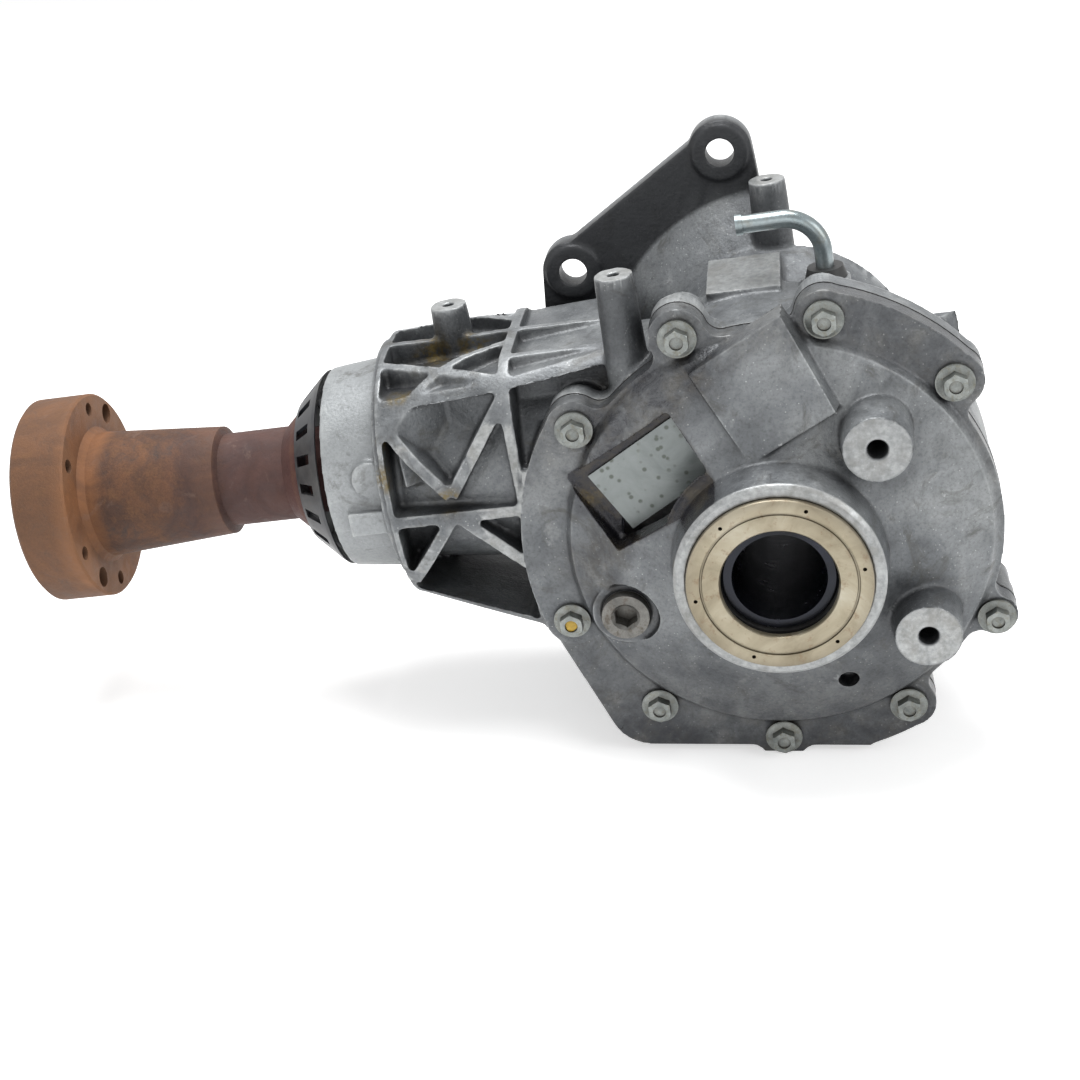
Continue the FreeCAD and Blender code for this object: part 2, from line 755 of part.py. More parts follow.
def pinion_tooth(x, scale_gap):
    """Tooth outline of the pinion across its axis at a distance x from the bore axis."""
    k = x / mesh_x
    pitch_r = pitch_slope * x
    addendum = 3.2 * k
    root = pitch_r - 4.4 * k
    half = math.pi * pitch_r / pinion_teeth / 2 - scale_gap
    slope = math.tan(math.radians(pressure_angle))
    points = [(root - 1.0, half + 0.9 * k * slope)]
    for share, lean in ((0.0, 0.0), (0.6, 0.69), (1.0, 1.45)):
        points.append((pitch_r + addendum * share, half - addendum * slope * lean))
    outline = [(r, -w) for r, w in points] + [(r, w) for r, w in reversed(points)]
    flat = [vec(-x, -r, pinion_offset + w) for r, w in outline]
    return Part.makePolygon(flat + [flat[0]])


def make_pinion_gear():
    near = mesh_x - tooth_face / 2
    far = mesh_x + tooth_face / 2
    near_root = near * pitch_slope - 4.4 * near / mesh_x
    far_root = far * pitch_slope - 4.4 * far / mesh_x
    inner_end = -near + 1.0
    cone_end_x = head_bearing_x - head_bearing_w * 0.92
    body = pinion_turned([
        (0, inner_end), (near_root - 1.0, inner_end), (near_root, -near), (far_root, -far),
        (far_root + 1.0, -far - 2.0), (pinion_r + 5.0, head_bearing_x), (pinion_r, head_bearing_x),
        (pinion_r, cone_end_x), (pinion_tail_r, cone_end_x),
        (pinion_tail_r, tail_back_x), (pinion_tail_r - 1.0, tail_back_x), (pinion_tail_r - 1.0, nut_seat_x),
        (pinion_tail_r - 3.0, nut_seat_x), (pinion_tail_r - 3.0, pinion_end_x + 1.0),
        (pinion_tail_r - 4.0, pinion_end_x), (0, pinion_end_x)])
    teeth = []
    for k in range(pinion_teeth):
        ends = [pinion_tooth(near, tooth_play / 4), pinion_tooth(far, tooth_play / 4)]
        tooth = Part.makeLoft(ends, True, True)
        tooth.rotate(vec(0, 0, pinion_offset), X, 360.0 * k / pinion_teeth)
        teeth.append(tooth)
    return join([body] + teeth)


def make_spacer():
    inner = pinion_tail_r + fit_gap
    outer = inner + spacer_wall
    start = head_bearing_x - head_bearing_w * 0.92
    end = tail_back_x + tail_bearing_w * 0.92
    middle = (start + end) / 2
    return pinion_turned([
        (inner, start), (pinion_r + 2.0, start), (pinion_r + 2.0, start - 4.0), (outer, start - 8.0),
        (outer, middle + 8.0), (outer + 2.0, middle), (outer, middle - 8.0),
        (outer, end), (inner, end), (inner, middle - 8.0), (inner + 2.0, middle), (inner, middle + 8.0)])


def make_pinion_nut():
    start = vec(nut_seat_x, 0, pinion_offset)
    washer = rod(nut_flats / 2 + 2.0, start, start + BACK * 2.0)
    nut = hexagon(nut_flats, start, BACK, nut_w)
    hole = rod(pinion_tail_r - 3.0 + fit_gap, start + X, start + BACK * (nut_w + 1.0))
    return join([washer, nut]).cut(hole)


# ---------------------------------------------------------------- output flange and dust shield
def make_output_flange():
    bore = pinion_tail_r - 1.0 + fit_gap
    recess_x = flange_face_x + flange_recess_depth
    body = pinion_turned([
        (flange_bore_r, recess_x), (flange_recess_r, recess_x), (flange_recess_r, flange_face_x),
        (flange_r - 1.5, flange_face_x), (flange_r, flange_face_x + 1.5),
        (flange_r, flange_near_x - 1.0), (flange_r - 1.0, flange_near_x),
        (neck_outer_r + 3.0, flange_near_x), (neck_outer_r, flange_near_x + 3.0),
        (neck_step_r, neck_step_x), (neck_thin_r, neck_step_x + 1.5), (neck_thin_r, flare_x),
        (flare_r, flare_end_x), (sleeve_r, flare_end_x), (sleeve_r, tail_back_x - 1.0),
        (sleeve_r - 1.0, tail_back_x), (bore, tail_back_x), (bore, nut_seat_x),
        (flange_bore_r, nut_seat_x)])
    holes = []
    for k in range(flange_tap_count):
        holes.append((flange_tap_r, flange_tap_first + 60 * k))
    for k in range(2):
        holes.append((flange_dowel_r, flange_dowel_first + 180 * k))
    tools = []
    for r, angle in holes:
        a = math.radians(angle)
        start = vec(flange_face_x - 1, -flange_hole_circle_r * math.cos(a),
                    pinion_offset + flange_hole_circle_r * math.sin(a))
        tools.append(rod(r, start, start + X * (flange_t + 2)))
    return body.cut(tools)


def make_dust_shield():
    t = shield_wall
    hub = sleeve_r + seat_gap
    foot = flare_r + 1.0
    plate = pinion_turned([
        (hub, flare_end_x), (foot, flare_end_x), (shield_root_r, shield_x - 1.0),
        (shield_r - 1.5, shield_rim_x - 2.0), (shield_r, shield_rim_x), (shield_r - t, shield_rim_x),
        (shield_r - 1.5 - t, shield_rim_x - 1.5), (shield_root_r - t, shield_x + t - 0.5),
        (foot, flare_end_x + t), (hub, flare_end_x + t)])
    length = shield_rim_x - shield_x - 5.0
    slots = []
    for k in range(shield_slots):
        corner = vec(shield_x + 0.5, -shield_slot_w / 2, pinion_offset + shield_root_r - 8.0)
        slot = Part.makeBox(length, shield_slot_w, 20.0, corner)
        slot.rotate(vec(0, 0, pinion_offset), X, 360.0 * k / shield_slots)
        slots.append(slot)
    return plate.cut(slots)


def make_pinion_seal():
    front = nose_x + 0.5
    back = nose_x + pinion_seal_w
    outer = tail_bearing_r - seat_gap
    return pinion_turned([
        (outer, front), (outer, back), (outer - 1.5, back), (outer - 1.5, front + 2.0),
        (sleeve_r + 6.0, front + 2.0), (sleeve_r + 4.0, back - 2.0), (sleeve_r + 0.8, back - 2.0),
        (sleeve_r + fit_gap, back - 4.0), (sleeve_r + 1.5, front)])


# ---------------------------------------------------------------- main case
def rounded_section(x, y0, y1, z0, z1, r):
    """Closed outline across the pinion line: a rectangle with rounded corners."""
    corners = ((y0 + r, z0 + r, 180), (y1 - r, z0 + r, 270), (y1 - r, z1 - r, 0), (y0 + r, z1 - r, 90))
    edges = []
    last = None
    first = None
    for cy, cz, start in corners:
        pts = []
        for da in (0, 45, 90):
            a = math.radians(start + da)
            pts.append(vec(x, cy + r * math.cos(a), cz + r * math.sin(a)))
        if last is not None:
            edges.append(Part.makeLine(last, pts[0]))
        else:
            first = pts[0]
        edges.append(Part.Arc(pts[0], pts[1], pts[2]).toShape())
        last = pts[2]
    edges.append(Part.makeLine(last, first))
    return Part.Wire(edges)


def extension_hull():
    """Envelope that the tops of the ribs follow, from the collar rim into the drum."""
    low = pinion_offset - rim_r
    high = pinion_offset + rim_r - 1.0
    rim = rounded_section(collar_rim_x, -rim_r, rim_r, low, high, rim_corner_r)
    waist = rounded_section(waist_x, hull_front_y, hull_back_y, hull_bottom_z, hull_top_z, hull_corner_r)
    inner = rounded_section(-55.0, hull_front_y, hull_back_y, hull_bottom_z, hull_top_z, hull_corner_r)
    return Part.makeLoft([rim, waist], True, True).fuse(Part.makeLoft([waist, inner], True, True))


def side_rib(x0, z0, x1, z1, width):
    """Wall seen edge-on from the front, between two points of the side lattice."""
    along = vec(x1 - x0, 0, z1 - z0).normalize()
    across = along.cross(Y) * (width / 2)
    a = vec(x0, -70, z0)
    b = vec(x1, -70, z1)
    return prism([a - across, b - across, b + across, a + across], Y * 140)


def top_rib(x0, y0, x1, y1, width):
    """Wall seen edge-on from above."""
    along = vec(x1 - x0, y1 - y0, 0).normalize()
    across = along.cross(Z) * (width / 2)
    a = vec(x0, y0, pinion_offset + 8.0)
    b = vec(x1, y1, pinion_offset + 8.0)
    return prism([a - across, b - across, b + across, a + across], Z * 62)


def rib_lattice():
    """Ribs of the extension: V and inverted V on the sides, crossed ribs on the top."""
    rim = collar_rim_x
    waist = waist_x
    middle = (rim + waist) / 2 - 1.0
    side_top = pinion_offset + 45.0
    side_low = pinion_offset - 6.0
    apex = pinion_offset + 3.0
    foot = pinion_offset - 40.0
    thick = rib_t + 1.4
    ribs = [
        side_rib(rim - 2, side_top, waist, side_top + 6.0, rib_t),
        side_rib(waist, side_top + 6.0, -60.0, side_top + 12.0, rib_t),
        side_rib(rim - 2, side_low, waist, side_low - 2.0, thick),
        side_rib(rim + 1, side_top - 1, middle, apex, thick),
        side_rib(middle, apex, waist, side_top + 3, thick),
        side_rib(middle, side_low, rim + 3, foot, thick),
        side_rib(middle, side_low, waist + 2, foot, thick),
        side_rib(rim, pinion_offset - 48.0, waist, hull_bottom_z + 12.0, rib_t),
        side_rib(waist, hull_bottom_z + 12.0, -80.0, hull_bottom_z + 5.0, rib_t),
        top_rib(rim, -22.0, waist, -48.0, rib_t),
        top_rib(rim + 8, -52.0, waist, -14.0, rib_t),
        top_rib(rim, 22.0, waist, 44.0, rib_t),
        top_rib(rim + 8, 48.0, waist, 14.0, rib_t),
        top_rib(rim, 0.0, -60.0, 0.0, rib_t),
        top_rib(waist, -34.0, -60.0, -34.0, rib_t),
    ]
    for x, width in ((rim, rim_w), (waist, rib_t + 1.0)):
        slab = Part.makeBox(width, 140, 240, vec(x - width / 2, -70, -110))
        ribs.append(slab)
    web = [vec(waist, -70, pinion_offset + 8.0), vec(waist + 30.0, -70, pinion_offset + 32.0),
           vec(-60.0, -70, pinion_offset + 32.0), vec(-60.0, -70, -110), vec(waist, -70, -110)]
    ribs.append(prism(web, Y * 140))
    return ribs


def make_extension():
    hull = extension_hull()
    ribs = join(rib_lattice()).common(hull)
    axis_z = pinion_offset
    skin = taper(skin_r, skin_root_r, vec(collar_rim_x, 0, axis_z), vec(waist_x, 0, axis_z))
    root = rod(skin_root_r, vec(waist_x - 0.5, 0, axis_z), vec(-20, 0, axis_z))
    nose = taper(nose_r, nose_root_r, vec(nose_x, 0, axis_z), vec(collar_rim_x, 0, axis_z))
    rim_middle = vec(collar_rim_x, 0, axis_z)
    rim = rod(rim_r - 1.5, rim_middle - X * (rim_w / 2), rim_middle + X * (rim_w / 2))
    key = Part.makeBox(22.0, 14.0, 12.0, vec(collar_rim_x - 21.0, -nose_root_r - 4.0, axis_z - 13.0))
    belly = rod(22.0, vec(collar_rim_x - 12.0, -14.0, axis_z - 18.0), vec(-90.0, -6.0, axis_z - 34.0))
    boss_z = axis_z + nose_boss_rise
    boss_y = -math.sqrt(nose_root_r ** 2 - nose_boss_rise ** 2) - 1.0
    boss_x = nose_x + nose_boss_back
    boss = rod(nose_boss_r, vec(boss_x, boss_y, boss_z), vec(boss_x, 0, boss_z))
    return [ribs, skin, root, nose, rim, key, belly, boss]


def make_rear_flange():
    y = rear_face_y - rear_flange_t
    pieces = [Part.makeCylinder(rear_flange_r, rear_flange_t, vec(0, y, 0), Y)]
    centers = [polar(angle, radius, y) for angle, radius in ears]
    for center in centers:
        pieces.append(Part.makeCylinder(ear_r, rear_flange_t, center, Y))
        pieces.append(Part.makeCylinder(ear_r - 2.0, 3.0, center - Y * 2.0, Y))
        along = vec(center.x, 0, center.z).normalize()
        across = along.cross(Y) * ear_r
        hub = vec(0, y, 0)
        arm = [hub - across, center - across, center + across, hub + across]
        pieces.append(prism(arm, Y * rear_flange_t))
    first, second = centers[0], centers[1]
    along = (second - first).normalize()
    across = along.cross(Y) * (ear_r - ear_web_inset)
    if across.z < 0:
        across = across * -1
    web = [first + across, second + across, vec(0, y, 60.0), vec(-50, y, 40.0)]
    pieces.append(prism(web, Y * rear_flange_t))
    angle, radius = ears[0]
    ear = polar(angle + case_lean, radius, y)
    edge_x = ear.x - ear_r
    skirt = [ear - X * ear_r, vec(edge_x, y, ear.z - ear_skirt), vec(0, y, 0), ear + X * ear_r]
    pieces.append(level(prism(skirt, Y * rear_flange_t)))
    return pieces


def make_bell():
    """Flared bell from the drum out to the eared rear flange."""
    start = vec(bell_x, bell_start_y, bell_z)
    knee = vec(bell_x, bell_knee_y, bell_z)
    end = vec(bell_x, rear_face_y - rear_flange_t + 1.0, bell_z)
    flare = taper(bell_knee_r, bell_end_r, knee, end)
    corner = vec(bell_cut_x, bell_start_y, bell_cut_z)
    beside = Part.makeBox(bell_end_r, rear_face_y, 2 * bell_end_r, corner)
    return [taper(bell_start_r, bell_knee_r, start, knee), flare.cut(beside)]


def make_main_case():
    drum = bore_turned([
        (0, joint_y), (drum_r, joint_y), (drum_r, drum_back_y), (drum_r - 10.0, drum_back_y + 18.0),
        (drum_r - 32.0, drum_back_y + 38.0), (neck_r, rear_face_y - rear_flange_t + 1.0),
        (0, rear_face_y - rear_flange_t + 1.0)])
    pilot = Part.makeCylinder(pilot_r, pilot_h + 1.0, vec(0, rear_face_y - 1.0, 0), Y)
    pieces = [drum, flange_slab(joint_y, case_flange_t), pilot]
    pieces += make_bell()
    pieces += make_extension()
    pieces += make_rear_flange()
    for angle in bolt_angles:
        start = polar(angle, bolt_circle_r - 2.0, joint_y + 1.0)
        pieces.append(rod(bolt_boss_r, start, start + Y * (bolt_thread_depth + 6.0)))
    for x, y, top in posts:
        post = taper(post_foot_r, post_r, vec(x, y, post_root_z), vec(x, y, top))
        post.rotate(vec(x, y, top), Z, post_seam)
        pieces.append(post)
    breather = vec(breather_x, breather_y, breather_base_z)
    pieces.append(rod(grommet_r + 1.5, breather - Z * 30.0, breather))
    pad = Part.makeBox(pad_l, pad_w, 40.0, vec(pad_x - pad_l / 2, pad_y - pad_w / 2, pad_top_z - 40.0))
    pad.rotate(vec(pad_x, pad_y, pad_top_z), X, pad_tilt)
    pieces.append(pad)
    body = join(pieces)

    cavity = bore_turned([
        (0, joint_y - 1.0), (chamber_r, joint_y - 1.0), (chamber_r, drum_back_y - 4.0),
        (chamber_r - 20.0, drum_back_y + 18.0), (bearing_r + 4.0, rear_bearing_y - 1.0),
        (bearing_r, rear_bearing_y - 1.0), (bearing_r, rear_shoulder_y), (shoulder_r, rear_shoulder_y),
        (shoulder_r, rear_seal_y), (bearing_r, rear_seal_y), (bearing_r, rear_face_y + pilot_h + 1.0),
        (0, rear_face_y + pilot_h + 1.0)])
    line = pinion_turned([
        (0, -30.0), (35.0, -30.0), (35.0, -80.0), (head_bearing_r, -80.0), (head_bearing_r, head_cup_x),
        (head_bearing_r - 7.0, head_cup_x), (head_bearing_r - 10.0, head_cup_x - 4.0),
        (head_bearing_r - 10.0, tail_bearing_x + 3.0), (tail_bearing_r - 6.0, tail_bearing_x),
        (tail_bearing_r, tail_bearing_x), (tail_bearing_r, nose_x - 1.0), (0, nose_x - 1.0)])
    tools = [cavity, line]
    for angle, radius in ears + (inner_ear,):
        start = polar(angle, radius, rear_face_y - rear_flange_t - 6.0)
        tools.append(rod(ear_hole_r, start, start + Y * (rear_flange_t + 8.0)))
    spot = polar(*inner_ear, rear_face_y - rear_flange_t)
    tools.append(rod(spot_face_r, spot - Y * spot_face_depth, spot))
    for x, y, top in posts:
        head = vec(x, y, top)
        hole = rod(post_core_r, head, head - Z * post_hole_depth)
        mouth = taper(post_core_r + post_chamfer, post_core_r, head, head - Z * post_chamfer)
        for tool in (hole, mouth):
            tool.rotate(head, Z, post_seam)
            tools.append(tool)
    tools.append(rod(grommet_r - 3.0, breather, breather - Z * 6.0))
    tools.append(rod(2.0, breather, breather - Z * 40.0))
    groove_y = rear_face_y + 3.0
    groove_end_y = groove_y + oring_r * 2.2
    floor_r = pilot_r - oring_r * 1.5
    groove = bore_turned([
        (floor_r, groove_y), (pilot_r + 1.0, groove_y),
        (pilot_r + 1.0, groove_end_y), (floor_r, groove_end_y)])
    tools.append(groove)
    body = body.cut(tools)
    return drill_bolts(body, bolt_core_r + fit_gap, joint_y - 1.0, joint_y + bolt_thread_depth)


def make_breather_pipe():
    """Elbow pipe pressed in a grommet, with a bead at its free end."""
    base = vec(breather_x, breather_y, breather_base_z - 4.0)
    bend = vec(breather_x, breather_y, breather_base_z + breather_rise - breather_bend_r)
    center = bend + BACK * breather_bend_r
    top = center + Z * breather_bend_r
    end = top + BACK * breather_run

    def tube(radius, past):
        ring = Part.Face(Part.Wire(Part.makeCircle(radius, bend, Z)))
        elbow = ring.revolve(center, FRONT, 90)
        return join([rod(radius, base - Z * past, bend), elbow, rod(radius, top, end + BACK * past)])

    bead = rod(breather_pipe_r + breather_bead_h, end, end - BACK * breather_bead_w)
    return join([tube(breather_pipe_r, 0.0), bead]).cut(tube(breather_bore_r, 1.0))


def make_breather_grommet():
    base = vec(breather_x, breather_y, breather_base_z)
    plug = rod(grommet_r - 3.0 - seat_gap, base - Z * 4.0, base)
    cap = taper(grommet_r, grommet_r - 1.5, base, base + Z * grommet_h)
    return join([plug, cap]).cut(rod(breather_pipe_r + seat_gap, base - Z * 5.0, base + Z * 10.0))


def make_oring():
    """Rubber ring lying in the groove of the pilot, proud of it by a third of its thickness."""
    middle_r = pilot_r - oring_r * 0.4
    middle_y = rear_face_y + 3.0 + oring_r * 1.1
    outline = []
    for k in range(8):
        a = math.radians(22.5 + 45 * k)
        outline.append((middle_r + oring_r * math.cos(a), middle_y + oring_r * math.sin(a)))
    return bore_turned(outline)


# ---------------------------------------------------------------- assembly
os.makedirs("parts", exist_ok=True)
save("main_case", make_main_case())
save("side_cover", make_side_cover())
save("cover_gasket", make_gasket())
for number, angle in enumerate(bolt_angles):
    save("cover_bolt_" + str(number + 1), make_cover_bolt(angle))
save("front_seal_case", make_seal_case())
lip_front_y = seal_front_y + lip_inset
save("front_seal_lip", seal_lip(seal_lip_r - seat_gap, seal_on_shaft_r, lip_front_y, seal_back_y))
save("front_shim", make_shim())
save("filler_plug", make_filler_plug())
save("filler_plug_washer", make_plug_washer())
save("label_plate", make_label_plate())
save("rear_seal", seal_lip(bearing_r - seat_gap, seal_on_shaft_r, rear_seal_y + 1.0, rear_face_y))
save("pilot_oring", make_oring())
save_bearing("front_bearing", shaft_r + seat_gap, bearing_r - seat_gap, bearing_w, shaft_rollers,
             bore_turned, front_bearing_end_y, -1)
save_bearing("rear_bearing", shaft_r + seat_gap, bearing_r - seat_gap, bearing_w, shaft_rollers,
             bore_turned, rear_bearing_y, 1)
save_bearing("head_bearing", pinion_r + seat_gap, head_bearing_r - seat_gap, head_bearing_w,
             head_rollers, pinion_turned, head_bearing_x, -1)
save_bearing("tail_bearing", pinion_tail_r + seat_gap, tail_bearing_r - seat_gap, tail_bearing_w,
             tail_rollers, pinion_turned, tail_back_x, 1)
save("hollow_shaft", make_hollow_shaft())
save("gear_carrier", make_gear_carrier())
save("ring_gear", make_ring_gear())
save("pinion_gear", make_pinion_gear())
save("crush_spacer", make_spacer())
save("pinion_nut", make_pinion_nut())
save("output_flange", make_output_flange())
save("dust_shield", make_dust_shield())
save("pinion_seal", make_pinion_seal())
save("breather_pipe", make_breather_pipe())
save("breather_grommet", make_breather_grommet())
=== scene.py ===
import json
import math

import bmesh
import bpy
import numpy as np
from mathutils import Matrix, Vector

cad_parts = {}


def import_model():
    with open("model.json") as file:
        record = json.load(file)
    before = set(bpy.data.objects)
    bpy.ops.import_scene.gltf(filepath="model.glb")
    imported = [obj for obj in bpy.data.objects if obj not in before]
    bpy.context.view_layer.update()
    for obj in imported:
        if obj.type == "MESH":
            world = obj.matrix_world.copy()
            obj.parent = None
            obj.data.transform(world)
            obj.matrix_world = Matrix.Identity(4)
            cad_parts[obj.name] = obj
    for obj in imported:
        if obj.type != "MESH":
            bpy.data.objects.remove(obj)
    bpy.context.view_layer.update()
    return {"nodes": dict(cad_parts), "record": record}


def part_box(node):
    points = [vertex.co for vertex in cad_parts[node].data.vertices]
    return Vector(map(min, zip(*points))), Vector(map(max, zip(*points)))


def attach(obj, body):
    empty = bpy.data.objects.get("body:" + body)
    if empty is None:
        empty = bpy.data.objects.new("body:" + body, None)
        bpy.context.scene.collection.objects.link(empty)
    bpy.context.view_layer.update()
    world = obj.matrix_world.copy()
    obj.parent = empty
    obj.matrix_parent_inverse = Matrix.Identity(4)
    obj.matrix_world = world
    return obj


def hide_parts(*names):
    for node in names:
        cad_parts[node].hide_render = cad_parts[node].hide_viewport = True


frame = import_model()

NODES = frame["nodes"]
MOUNTS = {m["name"]: m for m in frame["record"]["mounts"]}
LEAN = math.radians(6.2)  # the pinion axis dips this much towards the flange
FOOT_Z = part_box("main_case")[0].z
THIN_EDGE = 0.0007        # castings are swollen by this before the remesh, and shrunk after it
POSTS = ("post_1", "post_2", "post_3")
EARS = ("transmission_ear_1", "transmission_ear_2", "transmission_ear_3", "transmission_ear_4")
POST_R = 0.0105           # machined faces round the mounts
EAR_R = 0.013
BOSS_R = 0.0147


# ------------------------------------------------------------------ node helpers
class Mat:
    """A material under construction: short names for the nodes it needs."""

    def __init__(self, name):
        self.mat = bpy.data.materials.new(name)
        self.mat.use_nodes = True
        self.tree = self.mat.node_tree
        self.tree.nodes.clear()
        self.out = self.add("ShaderNodeOutputMaterial")
        self.bsdf = self.add("ShaderNodeBsdfPrincipled")
        self.tree.links.new(self.bsdf.outputs[0], self.out.inputs[0])
        self.coord = self.add("ShaderNodeTexCoord").outputs["Object"]

    def add(self, kind, **values):
        node = self.tree.nodes.new(kind)
        for key, value in values.items():
            setattr(node, key, value)
        return node

    def link(self, source, target):
        if hasattr(source, "is_linked"):
            self.tree.links.new(source, target)
        else:
            target.default_value = source

    def set(self, **values):
        for key, value in values.items():
            self.link(value, self.bsdf.inputs[key.replace("_", " ")])

    def noise(self, scale, detail=4.0, rough=0.55, warp=0.0, coord=None, stretch=None):
        node = self.add("ShaderNodeTexNoise")
        where = coord or self.coord
        if stretch:
            mapping = self.add("ShaderNodeMapping")
            mapping.inputs["Scale"].default_value = stretch
            self.link(where, mapping.inputs["Vector"])
            where = mapping.outputs[0]
        self.link(where, node.inputs["Vector"])
        node.inputs["Scale"].default_value = scale
        node.inputs["Detail"].default_value = detail
        node.inputs["Roughness"].default_value = rough
        node.inputs["Distortion"].default_value = warp
        return node.outputs[0]

    def cells(self, scale, feature="F1"):
        node = self.add("ShaderNodeTexVoronoi", feature=feature)
        self.link(self.coord, node.inputs["Vector"])
        node.inputs["Scale"].default_value = scale
        return node.outputs["Distance"]

    def ramp(self, value, *stops):
        """Stops are (position, grey) or (position, (r, g, b))."""
        node = self.add("ShaderNodeValToRGB")
        self.link(value, node.inputs[0])
        elements = node.color_ramp.elements
        while len(elements) < len(stops):
            elements.new(0.5)
        for element, (at, tone) in zip(elements, stops):
            element.position = at
            rgb = tone if isinstance(tone, tuple) else (tone, tone, tone)
            element.color = (*rgb, 1.0)
        return node.outputs[0]

    def mix(self, share, first, second, blend="MIX"):
        node = self.add("ShaderNodeMix", data_type="RGBA", blend_type=blend)
        self.link(share, node.inputs[0])
        for value, socket in ((first, node.inputs[6]), (second, node.inputs[7])):
            self.link((*value, 1.0) if isinstance(value, tuple) else value, socket)
        return node.outputs[2]

    def math(self, operation, first, second=0.0, clamp=False):
        node = self.add("ShaderNodeMath", operation=operation, use_clamp=clamp)
        self.link(first, node.inputs[0])
        self.link(second, node.inputs[1])
        return node.outputs[0]

    def split(self):
        """The three coordinates, as separate values."""
        node = self.add("ShaderNodeSeparateXYZ")
        self.link(self.coord, node.inputs[0])
        return node.outputs

    def radius(self, axis):
        """Distance from the hollow shaft's axis."""
        across = self.math("MULTIPLY", axis[0], axis[0])
        upward = self.math("MULTIPLY", axis[2], axis[2])
        return self.math("SQRT", self.math("ADD", across, upward))

    def attribute(self, name):
        return self.add("ShaderNodeAttribute", attribute_name=name).outputs["Fac"]

    def edges(self):
        return self.add("ShaderNodeNewGeometry").outputs["Pointiness"]

    def hollow(self, distance):
        """0 in the open, 1 deep in a corner."""
        node = self.add("ShaderNodeAmbientOcclusion")
        node.samples = 8
        node.inputs["Distance"].default_value = distance
        return self.math("SUBTRACT", 1.0, node.outputs["AO"], clamp=True)

    def bump(self, *layers):
        """Layers are (height, strength, depth in metres), coarse first."""
        normal = None
        for height, strength, depth in layers:
            node = self.add("ShaderNodeBump")
            node.inputs["Strength"].default_value = strength
            node.inputs["Distance"].default_value = depth
            self.link(height, node.inputs["Height"])
            if normal:
                self.link(normal, node.inputs["Normal"])
            normal = node.outputs[0]
        self.set(Normal=normal)


